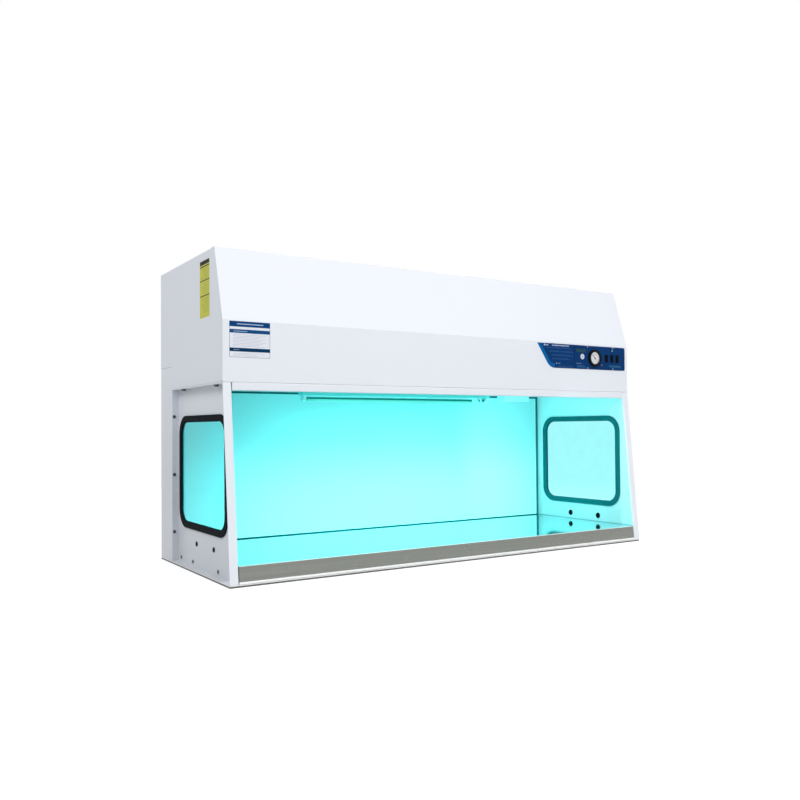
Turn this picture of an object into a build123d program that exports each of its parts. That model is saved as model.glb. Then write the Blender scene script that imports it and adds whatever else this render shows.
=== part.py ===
"""Horizontal laminar flow hood, nominal 72 inch working width.

Millimetres, +Z up. The origin is at the middle of the base, on the surface that the hood stands on.
The open front faces -Y. The air goes in through the roof and two blowers press it down
the space behind the filter. The filter is the back wall of the work chamber.
"""

from build123d import *
import math
import os

os.makedirs("parts", exist_ok=True)

# ------------------------------------------------------------------ driving dimensions
# Cabinet
width = 1880.0
depth = 730.0
height = 1105.0
sheet = 2.0
bend_radius = 3.0
thin_sheet = 1.0
plinth_height = 8.0
side_recess = 26.0
column_depth = 137.0
column_top_z = 737.0
ceiling_z = 651.0
lip_drop = 25.0
fascia_setback = 59.0
fascia_top_z = 855.0
roof_setback = 132.0
cover_flange = 25.0
casing_flange = 40.0
flange_hem = 12.0
fold_clearance = 3.0

# Worktop and base
worktop_z = 67.0
tray_gap = 4.0
pan_lip_top_z = 16.0
bearer_width = 35.0
bearer_rear_setback = 170.0
bearer_middle_y = 65.0
bearer_front_setback = 174.0
side_screw_z = 26.0

# Side windows
window_front_margin = 80.0
window_rear_margin = 21.0
window_z = 346.5
seal_height = 409.0
seal_corner = 71.0
seal_band = 24.0
seal_grip = 10.0
seal_web = 3.0
seal_thickness = 11.0
glass_thickness = 4.0

# Hole plugs
plug_offsets = (-111.0, 63.0)
plug_z = 94.0
plug_inner_radius = 13.0
plug_outer_radius = 9.5
plug_stem_radius = 8.0
plug_cap = 2.5
plug_rim = 1.5

# Filter
filter_setback = 120.5
filter_screen_sheet = 1.5
filter_depth = 68.0
filter_side_gap = 12.0
filter_top_gap = 8.0
filter_floor_gap = 4.0
filter_wall = 2.0
filter_flange = 18.0
gasket_recess = 3.0
gasket_depth = 12.0
pleat_pitch = 30.0
pleat_depth = 52.0
media_thickness = 1.2
pack_clearance = 1.0

# Screws and bolts
screw_radius = 2.5
screw_head_radius = 6.5
screw_head_height = 3.2
screw_length = 10.0
head_roundness = 0.6
hole_clearance = 0.2
column_screw_zs = (549.0, 332.0, 118.0)
column_screw_inset = 9.0
bolt_rear_setback = 240.0
bolt_front_setback = 150.0
bolt_inset = 12.0
bolt_radius = 4.0
bolt_head_flats = 15.0
bolt_head_height = 5.5
bolt_washer_radius = 10.0
bolt_washer_thickness = 1.6
nut_height = 6.5

# Blowers
fan_inset = 10.0
fan_setback = 305.0
intake_length = 500.0
intake_depth = 300.0
grille_margin = 12.0
grille_bar = 8.0
grille_rows = 18
grille_columns = 2
prefilter_thickness = 22.0
prefilter_drop = 6.0
prefilter_pleats = 12
prefilter_rim = 10.0
prefilter_play = 2.0
prefilter_margin = 2.0
prefilter_pad = 4.0
box_depth = 41.0
ledge_width = 12.0
impeller_radius = 140.0
impeller_eye_radius = 90.0
impeller_outlet = 60.0
impeller_height = 96.0
impeller_sheet = 2.0
shroud_collar = 12.0
shroud_tangent = (0.35, -1)
blade_inset = 4.0
blade_tip_inset = 1.0
blade_count = 7
blade_radius = 96.0
blade_inlet_angle = 32.0
ring_throat_radius = 84.0
ring_flare = 24.0
ring_flange = 22.0
ring_drop = 32.0
ring_overlap = 8.0
hub_radius = 26.0
hub_height = 24.0
hub_root = 4.0
hub_taper = 3.0
shaft_radius = 6.0
shaft_clearance = 0.3
motor_radius = 55.0
motor_height = 84.0
motor_gap = 3.0
motor_boss = 12.0
motor_boss_height = 6.0
motor_dish = 8.0
motor_shoulder = 18.0
motor_fins = 12
motor_fin_depth = 8.0
motor_fin_width = 3.0
motor_fin_root = 1.0
motor_foot = 6.0
motor_foot_rim = 12.0
shaft_recess = 10.0
shaft_chamfer = 1.0
bracket_sheet = 3.0
bracket_width = 130.0
bracket_clearance = 26.0
bracket_foot = 34.0

# Control panel
plate_margin = 15.0
plate_length = 516.0
plate_top_z = 849.0
plate_bottom_z = 748.0
plate_slant = 69.0
plate_thickness = 1.5
plate_corner = 8.0
plate_slant_corner = 50.0
panel_screw_offsets = (230.0, 76.0)
panel_screw_zs = (844.0, 753.0)
panel_screw_radius = 1.9
panel_screw_head = 3.6
panel_screw_head_height = 2.0
gauge_offset = 189.0
gauge_z = 797.0
gauge_bezel_radius = 38.0
gauge_bezel_height = 8.0
gauge_body_radius = 33.0
gauge_body_depth = 44.0
gauge_rim = 11.5
gauge_bevel = 3.0
gauge_edge = 2.5
dial_depth = 6.0
dial_thickness = 1.0
lens_inset = 1.5
lens_thickness = 1.5
dial_clearance = 0.1
arbor_length = 8.0
arbor_end_gap = 1.0
pointer_length = 20.5
pointer_tail = 8.0
pointer_root_width = 2.8
pointer_tip_width = 0.8
pointer_thickness = 0.8
pointer_hub_radius = 3.2
pointer_shaft_radius = 1.2
pointer_lift = 1.2
pointer_clearance = 0.3
pointer_sweep = 90.0
switch_offsets = (115.0, 81.5, 48.0)
switch_z = 798.0
switch_bezel_width = 17.0
switch_bezel_height = 33.0
switch_bezel = 2.5
switch_corner = 1.5
switch_wall = 1.4
switch_shoulder = 1.5
switch_body_depth = 20.0
switch_end_wall = 2.2
rocker_clearance = 0.4
rocker_travel = 18.0
rocker_rise = 5.0
rocker_root = 3.0
rocker_pivot_depth = 1.5
trunnion_radius = 1.5
trunnion_length = 0.9
trunnion_play = 0.3
lamp_offset = 81.0
lamp_z = 832.0
lamp_radius = 3.2
lamp_shoulder = 1.0
lamp_height = 2.5
lamp_length = 12.0
port_offset = 147.0
port_z = 768.0
port_radius = 4.5
port_bore = 1.2
port_length = 7.0
port_flange_thickness = 2.0

# Lamps
uv_setback = 144.5
uv_tube_radius = 8.0
uv_tube_z = 619.0
uv_holder_span = 900.0
uv_holder_thickness = 12.0
uv_holder_width = 30.0
uv_batten_width = 44.0
uv_batten_height = 17.0
uv_batten_length = 936.0
batten_taper = 5.0
cap_length = 14.0
cap_sheet = 0.6
cap_round = 2.0
pin_spread = 2.5
pin_radius = 1.2
pin_play = 1.0
holder_clearance = 0.2
holder_rim = 2.0
socket_depth = 5.0
cover_gap = 83.0
cover_length = 150.0
cover_width = 56.0
cover_height = 30.0
cover_corner = 4.0
cover_round = 2.5
work_lamp_setback = 44.0
work_lamp_radius = 8.0
work_lamp_drop = 12.0
work_lamp_span = 860.0
work_tray_width = 52.0
work_tray_length = 900.0
work_tray_height = 9.0
work_tray_flare = 10.0
work_holder_half = 10.0
ballast_x = 150.0
ballast_setback = 156.0
ballast_length = 230.0
ballast_width = 44.0
ballast_height = 32.0
ballast_foot = 1.5
ballast_lug = 18.0
ballast_side = 2.0
ballast_corner = 3.0

# Power inlet
inlet_offset = 160.0
inlet_z = 860.0
inlet_plate_width = 48.0
inlet_plate_height = 28.0
inlet_plate_thickness = 3.0
inlet_plate_corner = 3.0
inlet_mouth_width = 24.5
inlet_mouth_height = 16.5
inlet_mouth_chamfer = 4.0
inlet_wall = 1.8
inlet_recess = 17.0
inlet_depth = 24.0
inlet_pin_pitch = 7.0
inlet_pin_width = 4.0
inlet_pin_thickness = 2.0
inlet_pin_length = 14.0
inlet_pin_rise = 2.0

# ------------------------------------------------------------------ worked out from them
half_width = width / 2
front_y = -depth / 2
back_y = depth / 2
wall_outer_x = half_width - side_recess
wall_inner_x = wall_outer_x - sheet
column_y = back_y - column_depth
lip_bottom_z = ceiling_z - lip_drop
fascia_y = front_y + fascia_setback
roof_y = front_y + roof_setback
deck_z = ceiling_z + sheet
filter_face_y = back_y - filter_setback
filter_rear_y = filter_face_y + filter_screen_sheet + filter_depth
tray_rear_y = filter_rear_y + sheet
tray_half = wall_inner_x - tray_gap
pan_floor_z = plinth_height + sheet
roof_under_z = height - sheet
plate_face_y = fascia_y - plate_thickness
filter_half = wall_inner_x - filter_side_gap
filter_bottom_z = worktop_z + filter_floor_gap
filter_top_z = ceiling_z - filter_top_gap
filter_mid_z = (filter_bottom_z + filter_top_z) / 2
filter_height = filter_top_z - filter_bottom_z
seal_front_y = front_y + window_front_margin
seal_rear_y = column_y - window_rear_margin
seal_length = seal_rear_y - seal_front_y
window_y = (seal_front_y + seal_rear_y) / 2
plug_ys = [window_y + offset for offset in plug_offsets]
bearer_ys = (back_y - bearer_rear_setback, bearer_middle_y, front_y + bearer_front_setback)
bolt_ys = (back_y - bolt_rear_setback, front_y + bolt_front_setback)
fan_offset = half_width / 2 - fan_inset
fan_y = back_y - fan_setback
plate_right = half_width - plate_margin
plate_left = plate_right - plate_length
panel_screw_xs = [plate_right - offset for offset in panel_screw_offsets]
gauge_x = plate_right - gauge_offset
switch_xs = [plate_right - offset for offset in switch_offsets]
lamp_x = plate_right - lamp_offset
port_x = plate_right - port_offset
uv_y = filter_face_y - uv_setback
cover_left = uv_batten_length / 2 + cover_gap
work_lamp_y = fascia_y + work_lamp_setback
ballast_y = fascia_y + ballast_setback
inlet_x = half_width - inlet_offset


def slant_y(z):
    """Y of the sloping front plane of the posts and the apron, at height z."""
    return front_y + fascia_setback * z / lip_bottom_z


def facing(y, x=0.0, z=0.0):
    """Plane that faces the front at depth y. Its own X is +X and its own Y is +Z."""
    return Plane(origin=(x, y, z), x_dir=(1, 0, 0), z_dir=(0, -1, 0))


def sideways(x, y=0.0, z=0.0):
    """Plane that faces +X at x. Its own X is +Y and its own Y is +Z."""
    return Plane(origin=(x, y, z), x_dir=(0, 1, 0), z_dir=(1, 0, 0))


def twin(part):
    """The same piece for the other end of the cabinet."""
    with BuildPart() as opposite:
        mirror(part, about=Plane.YZ)
    return opposite.part


pieces = {}


# ------------------------------------------------------------------ base
# Open grey tray under the whole cabinet
with BuildPart() as base_plinth:
    with BuildSketch() as plinth_outline:
        RectangleRounded(width, depth, bend_radius)
    extrude(amount=plinth_height)
    with BuildSketch(Plane.XY.offset(sheet)) as plinth_hollow:
        RectangleRounded(width - 2 * sheet, depth - 2 * sheet, bend_radius - sheet)
    extrude(amount=plinth_height, mode=Mode.SUBTRACT)
pieces["base_plinth"] = base_plinth.part

# White floor sheet with a short lip that shows below the apron
with BuildPart() as base_pan:
    with BuildSketch(sideways(-tray_half)) as pan_section:
        with BuildLine():
            FilletPolyline(
                (slant_y(pan_lip_top_z) + flange_hem, pan_lip_top_z),
                (slant_y(pan_lip_top_z), pan_lip_top_z),
                (slant_y(plinth_height), plinth_height),
                (back_y - sheet, plinth_height),
                radius=bend_radius,
            )
            offset(amount=sheet, side=Side.LEFT)
        make_face()
    extrude(amount=2 * tray_half)
pieces["base_pan"] = base_pan.part

# Three folded channels carry the worktop and are screwed to the side panels
with BuildPart() as worktop_bearers:
    for bearer_y in bearer_ys:
        web_y = bearer_y - bearer_width / 2
        lip_y = bearer_y + bearer_width / 2
        with BuildSketch(sideways(-wall_inner_x)) as bearer_section:
            with BuildLine():
                FilletPolyline(
                    (lip_y, worktop_z - sheet),
                    (web_y, worktop_z - sheet),
                    (web_y, pan_floor_z),
                    (lip_y, pan_floor_z),
                    radius=bend_radius,
                )
                offset(amount=sheet, side=Side.LEFT)
            make_face()
        extrude(amount=2 * wall_inner_x)
        for end_x in (-wall_inner_x, wall_inner_x - sheet):
            with BuildSketch(sideways(end_x)) as bearer_end:
                with Locations((bearer_y, (pan_floor_z + worktop_z - sheet) / 2)):
                    Rectangle(bearer_width, worktop_z - sheet - pan_floor_z)
                with Locations((bearer_y, side_screw_z)):
                    Circle(screw_radius + hole_clearance, mode=Mode.SUBTRACT)
            extrude(amount=sheet)
pieces["worktop_bearers"] = worktop_bearers.part

# Stainless worktop with its apron turned down over the front
with BuildPart() as worktop:
    with BuildSketch(sideways(-tray_half)) as worktop_section:
        with BuildLine():
            FilletPolyline(
                (slant_y(pan_lip_top_z) + flange_hem, pan_lip_top_z),
                (slant_y(pan_lip_top_z), pan_lip_top_z),
                (slant_y(worktop_z), worktop_z),
                (tray_rear_y, worktop_z),
                radius=bend_radius,
            )
            offset(amount=sheet, side=Side.RIGHT)
        make_face()
    extrude(amount=2 * tray_half)
pieces["worktop"] = worktop.part


# ------------------------------------------------------------------ side panels and windows
def window_outline(inset, mode=Mode.ADD):
    """Rounded outline of the window, a distance inside the seal's outer edge."""
    return RectangleRounded(
        seal_length - 2 * inset, seal_height - 2 * inset, seal_corner - inset, mode=mode
    )


with BuildPart() as side_panel:
    with BuildSketch(facing(column_y)) as wall_section:
        with BuildLine():
            FilletPolyline(
                (half_width, ceiling_z),
                (wall_inner_x, ceiling_z),
                (wall_inner_x, plinth_height),
                (half_width, plinth_height),
                radius=bend_radius,
            )
            offset(amount=sheet, side=Side.LEFT)
        make_face()
    extrude(amount=column_y - front_y)
    # Plain wall behind the column's front edge, up to the back of the filter
    with BuildSketch(sideways(wall_inner_x)) as rear_wall:
        with Locations((column_y, plinth_height)):
            Rectangle(
                tray_rear_y - column_y,
                ceiling_z - plinth_height,
                align=(Align.MIN, Align.MIN),
            )
    extrude(amount=sheet)
    # The front of the folded sheet is cut to the slope and carries the post
    post_root = bend_radius + sheet
    with BuildSketch(sideways(wall_inner_x - sheet)) as slope_cut:
        with BuildLine():
            Polyline(
                (front_y - sheet, plinth_height - sheet),
                (slant_y(plinth_height - sheet) + post_root, plinth_height - sheet),
                (slant_y(ceiling_z + sheet) + post_root, ceiling_z + sheet),
                (front_y - sheet, ceiling_z + sheet),
                close=True,
            )
        make_face()
    extrude(amount=side_recess + 3 * sheet, mode=Mode.SUBTRACT)
    post_front_y = slant_y(plinth_height)
    post_rise = Vector(0, slant_y(ceiling_z) - post_front_y, ceiling_z - plinth_height)
    with BuildSketch(Plane.XY.offset(plinth_height)) as post_section:
        with BuildLine():
            FilletPolyline(
                (half_width, post_front_y),
                (wall_inner_x, post_front_y),
                (wall_inner_x, post_front_y + 3 * post_root),
                radius=bend_radius,
            )
            offset(amount=sheet, side=Side.LEFT)
        make_face()
    extrude(amount=post_rise.length, dir=post_rise)
    # Openings for the window, the plugs and the screws into the bearers
    with BuildSketch(sideways(wall_inner_x - sheet)) as wall_openings:
        with Locations((window_y, window_z)):
            window_outline(seal_grip)
        with Locations(*[(y, plug_z) for y in plug_ys]):
            Circle(plug_stem_radius + hole_clearance)
        with Locations(*[(y, side_screw_z) for y in bearer_ys]):
            Circle(screw_radius + hole_clearance)
    extrude(amount=3 * sheet, mode=Mode.SUBTRACT)
    # Bolt holes in the top flange
    with BuildSketch(Plane.XY.offset(ceiling_z - 2 * sheet)) as flange_holes:
        with Locations(*[(half_width - bolt_inset, y) for y in bolt_ys]):
            Circle(bolt_radius + hole_clearance)
    extrude(amount=3 * sheet, mode=Mode.SUBTRACT)
pieces["right_side_panel"] = side_panel.part
pieces["left_side_panel"] = twin(side_panel.part)

# Rubber glazing strip: its outer groove grips the panel, its inner groove the glass
seal_mid_x = wall_inner_x + sheet / 2
with BuildPart() as window_seal:
    with BuildSketch(sideways(seal_mid_x - seal_thickness / 2, window_y, window_z)) as band:
        window_outline(0)
        window_outline(seal_band, Mode.SUBTRACT)
    extrude(amount=seal_thickness)
    with BuildSketch(sideways(wall_inner_x, window_y, window_z)) as panel_groove:
        Rectangle(seal_length + sheet, seal_height + sheet)
        window_outline(seal_grip, Mode.SUBTRACT)
    extrude(amount=sheet, mode=Mode.SUBTRACT)
    with BuildSketch(
        sideways(seal_mid_x - glass_thickness / 2, window_y, window_z)
    ) as glass_groove:
        window_outline(seal_grip + seal_web)
    extrude(amount=glass_thickness, mode=Mode.SUBTRACT)
pieces["right_window_seal"] = window_seal.part
pieces["left_window_seal"] = twin(window_seal.part)

with BuildPart() as window:
    with BuildSketch(
        sideways(seal_mid_x - glass_thickness / 2, window_y, window_z)
    ) as glass_outline:
        window_outline(seal_grip + seal_web)
    extrude(amount=glass_thickness)
pieces["right_window"] = window.part
pieces["left_window"] = twin(window.part)

# Rubber plugs in the service holes of both side panels
with BuildPart() as hole_plugs:
    for side in (-1, 1):
        for plug_y in plug_ys:
            plug_origin = (side * wall_outer_x, plug_y, plug_z)
            with BuildSketch(
                Plane(origin=plug_origin, x_dir=(0, 0, 1), z_dir=(0, side, 0))
            ) as plug_section:
                with BuildLine():
                    Polyline(
                        (0, plug_cap),
                        (plug_outer_radius - plug_rim, plug_cap),
                        (plug_outer_radius, 0),
                        (plug_stem_radius, 0),
                        (plug_stem_radius, -sheet),
                        (plug_inner_radius, -sheet),
                        (plug_inner_radius - plug_rim, -sheet - plug_cap),
                        (0, -sheet - plug_cap),
                        close=True,
                    )
                make_face()
            revolve(axis=Axis(plug_origin, (1, 0, 0)))
pieces["hole_plugs"] = hole_plugs.part


# ------------------------------------------------------------------ ceiling and upper casing
with BuildPart() as ceiling_panel:
    with BuildSketch(sideways(-tray_half)) as lip_section:
        with BuildLine():
            FilletPolyline(
                (fascia_y + flange_hem, lip_bottom_z),
                (fascia_y, lip_bottom_z),
                (fascia_y, deck_z),
                (tray_rear_y, deck_z),
                radius=bend_radius,
            )
            offset(amount=sheet, side=Side.RIGHT)
        make_face()
    extrude(amount=2 * tray_half)
    with BuildSketch(Plane.XY.offset(ceiling_z)) as deck_outline:
        with Locations((0, fascia_y + bend_radius)):
            Rectangle(
                width,
                column_y - fascia_y - bend_radius,
                align=(Align.CENTER, Align.MIN),
            )
        with Locations((0, column_y)):
            Rectangle(
                2 * wall_inner_x, tray_rear_y - column_y, align=(Align.CENTER, Align.MIN)
            )
    extrude(amount=sheet)
    with BuildSketch(Plane.XY.offset(ceiling_z - sheet)) as deck_holes:
        bolt_x = half_width - bolt_inset
        with Locations(*[(x, y) for x in (-bolt_x, bolt_x) for y in bolt_ys]):
            Circle(bolt_radius + hole_clearance)
    extrude(amount=3 * sheet, mode=Mode.SUBTRACT)
pieces["ceiling_panel"] = ceiling_panel.part

# Roof and both upper sides, folded from one sheet
with BuildPart() as upper_casing:
    with BuildSketch(facing(back_y)) as casing_section:
        with BuildLine():
            FilletPolyline(
                (-half_width + casing_flange, deck_z),
                (-half_width, deck_z),
                (-half_width, height),
                (half_width, height),
                (half_width, deck_z),
                (half_width - casing_flange, deck_z),
                radius=bend_radius,
            )
            offset(amount=sheet, side=Side.RIGHT)
        make_face()
    extrude(amount=depth)
    # The sides end at the inner skin of the front cover
    with BuildSketch(sideways(-half_width - sheet)) as cover_cut:
        with BuildLine():
            Polyline(
                (front_y - sheet, deck_z - sheet),
                (fascia_y, deck_z - sheet),
                (fascia_y, fascia_top_z),
                (roof_y, height),
                (roof_y, height + sheet),
                (front_y - sheet, height + sheet),
                close=True,
            )
        make_face()
        offset(amount=sheet, kind=Kind.INTERSECTION)
        with Locations((fascia_y, deck_z - sheet)):
            Rectangle(
                flange_hem + sheet + fold_clearance,
                3 * sheet + fold_clearance,
                align=(Align.MIN, Align.MIN),
            )
        with Locations((roof_y + cover_flange, roof_under_z - hole_clearance)):
            Rectangle(4 * cover_flange, 4 * sheet, align=(Align.MAX, Align.MIN))
        # The columns stand in this corner
        with Locations((column_y, column_top_z)):
            Rectangle(
                column_depth + sheet,
                column_top_z - ceiling_z + 2 * sheet,
                align=(Align.MIN, Align.MAX),
            )
    extrude(amount=width + 2 * sheet, mode=Mode.SUBTRACT)
    # Air intakes in the roof
    with BuildSketch(Plane.XY.offset(roof_under_z - sheet)) as intake_openings:
        with Locations((-fan_offset, fan_y), (fan_offset, fan_y)):
            RectangleRounded(intake_length, intake_depth, 2 * bend_radius)
    extrude(amount=3 * sheet, mode=Mode.SUBTRACT)
    with BuildSketch(Plane.XY.offset(deck_z - sheet)) as casing_holes:
        with Locations(*[(x, y) for x in (-bolt_x, bolt_x) for y in bolt_ys]):
            Circle(bolt_radius + hole_clearance)
    extrude(amount=3 * sheet, mode=Mode.SUBTRACT)
pieces["upper_casing"] = upper_casing.part

# Fascia and slope, one folded cover over the whole width
panel_points = {
    "screw": [(x, z) for x in panel_screw_xs for z in panel_screw_zs],
    "switch": [(x, switch_z) for x in switch_xs],
}
switch_body_width = switch_bezel_width - 2 * switch_shoulder
switch_body_height = switch_bezel_height - 2 * switch_shoulder
cutter_depth = 4 * sheet


def panel_cutouts():
    """Holes that the fascia and the control plate share."""
    with Locations((gauge_x, gauge_z)):
        Circle(gauge_body_radius + hole_clearance)
    with Locations(*panel_points["switch"]):
        Rectangle(switch_body_width + 2 * hole_clearance, switch_body_height + 2 * hole_clearance)
    with Locations(*panel_points["screw"]):
        Circle(panel_screw_radius + hole_clearance)
    with Locations((lamp_x, lamp_z), (port_x, port_z)):
        Circle(lamp_radius - lamp_shoulder + hole_clearance)


with BuildPart() as front_cover:
    with BuildSketch(sideways(-half_width)) as cover_section:
        with BuildLine():
            FilletPolyline(
                (fascia_y + flange_hem, deck_z),
                (fascia_y, deck_z),
                (fascia_y, fascia_top_z),
                (roof_y, height),
                (roof_y + cover_flange, height),
                radius=bend_radius,
            )
            offset(amount=sheet, side=Side.RIGHT)
        make_face()
    extrude(amount=width)
    with BuildSketch(facing(fascia_y + cutter_depth)) as fascia_holes:
        panel_cutouts()
    extrude(amount=2 * cutter_depth, mode=Mode.SUBTRACT)
pieces["front_cover"] = front_cover.part

# Back sheet, folded round into the two columns
with BuildPart() as rear_casing:
    with BuildSketch(Plane.XY.offset(plinth_height)) as column_section:
        with BuildLine():
            FilletPolyline(
                (-wall_outer_x, column_y),
                (-half_width, column_y),
                (-half_width, back_y),
                (half_width, back_y),
                (half_width, column_y),
                (wall_outer_x, column_y),
                radius=bend_radius,
            )
            offset(amount=sheet, side=Side.RIGHT)
        make_face()
    extrude(amount=column_top_z - plinth_height)
    # Above the ceiling the upper casing's sides close the front of the columns
    with BuildSketch(Plane.XY.offset(ceiling_z)) as column_front_cut:
        with Locations((0, column_y)):
            Rectangle(2 * (half_width - sheet), 2 * bend_radius)
    extrude(amount=column_top_z - ceiling_z + sheet, mode=Mode.SUBTRACT)
    with BuildSketch(facing(column_y + cutter_depth)) as column_holes:
        column_screw_x = half_width - column_screw_inset
        column_screws_at = [
            (x, z) for x in (-column_screw_x, column_screw_x) for z in column_screw_zs
        ]
        with Locations(*column_screws_at):
            Circle(screw_radius + hole_clearance)
    extrude(amount=2 * cutter_depth, mode=Mode.SUBTRACT)
pieces["rear_casing"] = rear_casing.part

# Service panel that closes the upper casing at the back
with BuildPart() as upper_back_panel:
    with BuildSketch(sideways(-half_width + bend_radius)) as back_section:
        with BuildLine():
            FilletPolyline(
                (back_y - 2 * flange_hem, column_top_z),
                (back_y, column_top_z),
                (back_y, roof_under_z),
                (back_y - 2 * flange_hem, roof_under_z),
                radius=bend_radius,
            )
            offset(amount=sheet, side=Side.LEFT)
        make_face()
    extrude(amount=width - 2 * bend_radius)
    with BuildSketch(facing(back_y + sheet)) as inlet_opening:
        with Locations((inlet_x, inlet_z)):
            Rectangle(
                inlet_mouth_width + 2 * (inlet_wall + hole_clearance),
                inlet_mouth_height + 2 * (inlet_wall + hole_clearance),
            )
    extrude(amount=3 * sheet, mode=Mode.SUBTRACT)
pieces["upper_back_panel"] = upper_back_panel.part


# ------------------------------------------------------------------ screws and bolts
def screw(plane, radius, head_radius, head_height, length):
    """Button-head screw: the plane lies on the surface and faces out of it."""
    with BuildPart() as fastener:
        with BuildSketch(plane):
            Circle(head_radius)
        extrude(amount=head_height)
        rim = fastener.faces().sort_by(Axis(plane.origin, plane.z_dir))[-1].edges()
        fillet(rim, radius=head_height * head_roundness)
        with BuildSketch(plane):
            Circle(radius)
        extrude(amount=-length)
    return fastener.part


with BuildPart() as column_screws:
    for screw_x, screw_z in column_screws_at:
        face = facing(column_y, screw_x, screw_z)
        add(screw(face, screw_radius, screw_head_radius, screw_head_height, screw_length))
pieces["column_screws"] = column_screws.part

with BuildPart() as side_screws:
    for side in (-1, 1):
        for bearer_y in bearer_ys:
            face = Plane(
                origin=(side * wall_outer_x, bearer_y, side_screw_z),
                x_dir=(0, side, 0),
                z_dir=(side, 0, 0),
            )
            add(screw(face, screw_radius, screw_head_radius, screw_head_height, screw_length))
pieces["side_screws"] = side_screws.part

# Hex bolts up through the side panels' top flanges, with their nuts inside the casing
with BuildPart() as overhang_bolts:
    flange_z = ceiling_z - sheet
    nut_z = deck_z + sheet
    bolts_at = [(x, y) for x in (-bolt_x, bolt_x) for y in bolt_ys]
    with BuildSketch(Plane.XY.offset(flange_z)) as washers:
        with Locations(*bolts_at):
            Circle(bolt_washer_radius)
    extrude(amount=-bolt_washer_thickness)
    with BuildSketch(Plane.XY.offset(flange_z - bolt_washer_thickness)) as bolt_heads:
        with Locations(*bolts_at):
            RegularPolygon(bolt_head_flats / 2, 6, major_radius=False)
    extrude(amount=-bolt_head_height)
    with BuildSketch(Plane.XY.offset(nut_z)) as nuts:
        with Locations(*bolts_at):
            RegularPolygon(bolt_head_flats / 2, 6, major_radius=False)
    extrude(amount=nut_height)
    with BuildSketch(Plane.XY.offset(flange_z - bolt_washer_thickness)) as bolt_shanks:
        with Locations(*bolts_at):
            Circle(bolt_radius)
    extrude(amount=nut_z + nut_height + sheet - flange_z + bolt_washer_thickness)
pieces["overhang_bolts"] = overhang_bolts.part


# ------------------------------------------------------------------ filter, the chamber's back wall
frame_front_y = filter_face_y + filter_screen_sheet

with BuildPart() as filter_frame:
    ring_starts = (
        (frame_front_y, filter_wall, filter_flange),
        (frame_front_y + filter_wall, filter_depth - 2 * filter_wall, filter_wall),
        (filter_rear_y - filter_wall, filter_wall, filter_flange),
    )
    for ring_y, ring_depth, ring_width in ring_starts:
        with BuildSketch(facing(ring_y, 0, filter_mid_z)) as frame_ring:
            Rectangle(2 * filter_half, filter_height)
            Rectangle(
                2 * (filter_half - ring_width),
                filter_height - 2 * ring_width,
                mode=Mode.SUBTRACT,
            )
        extrude(amount=-ring_depth)
pieces["filter_frame"] = filter_frame.part

# Pleated pack: one zigzag sheet between the frame's flanges
pack_half = filter_half - filter_wall - pack_clearance
pack_front_y = frame_front_y + filter_wall + pack_clearance
pleat_count = int(2 * pack_half / pleat_pitch)
with BuildPart() as filter_media:
    with BuildSketch(Plane.XY.offset(filter_bottom_z + filter_wall)) as pleats:
        fold_pitch = pack_half / pleat_count
        folds = [
            (-pack_half + n * fold_pitch, pack_front_y + (n % 2) * pleat_depth)
            for n in range(2 * pleat_count + 1)
        ]
        shift = media_thickness * math.hypot(pleat_depth, fold_pitch) / fold_pitch
        with BuildLine():
            Polyline(*folds, *[(x, y + shift) for x, y in reversed(folds)], close=True)
        make_face()
    extrude(amount=filter_height - 2 * filter_wall)
pieces["filter_media"] = filter_media.part

with BuildPart() as filter_screen:
    with BuildSketch(facing(frame_front_y, 0, filter_mid_z)) as screen_outline:
        Rectangle(2 * filter_half, filter_height)
    extrude(amount=filter_screen_sheet)
pieces["filter_screen"] = filter_screen.part

# Rubber strip that fills the gap between the filter and the chamber
with BuildPart() as filter_gasket:
    with BuildSketch(facing(frame_front_y + gasket_recess, 0, 0)) as gasket_ring:
        with Locations((0, (worktop_z + ceiling_z) / 2)):
            Rectangle(2 * wall_inner_x, ceiling_z - worktop_z)
        with Locations((0, filter_mid_z)):
            Rectangle(2 * filter_half, filter_height, mode=Mode.SUBTRACT)
    extrude(amount=-gasket_depth)
pieces["filter_gasket"] = filter_gasket.part


# ------------------------------------------------------------------ blowers
grille_top_z = roof_under_z
box_top_z = grille_top_z - sheet
box_floor_z = box_top_z - box_depth
shroud_top_z = box_floor_z - sheet - ring_drop + ring_overlap
backplate_z = shroud_top_z - impeller_height
motor_top_z = backplate_z - motor_gap
motor_base_z = motor_top_z - motor_height
blade_inner = impeller_eye_radius - blade_inset
blade_outer = impeller_radius - blade_tip_inset
collar_z = shroud_top_z - shroud_collar


def blade_centre():
    """Centre of a blade's arc. The blade leaves the eye at its inlet angle and leans back."""
    lean = math.radians(blade_inlet_angle)
    return (
        blade_inner - blade_radius * math.cos(lean),
        -blade_radius * math.sin(lean),
    )


def blade_angle(radius, centre):
    """Angle about the arc's centre at which the blade crosses a radius of the impeller."""
    reach = math.hypot(*centre)
    cosine = (radius**2 - reach**2 - blade_radius**2) / (2 * reach * blade_radius)
    return math.degrees(math.atan2(centre[1], centre[0]) + math.acos(cosine))


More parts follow.
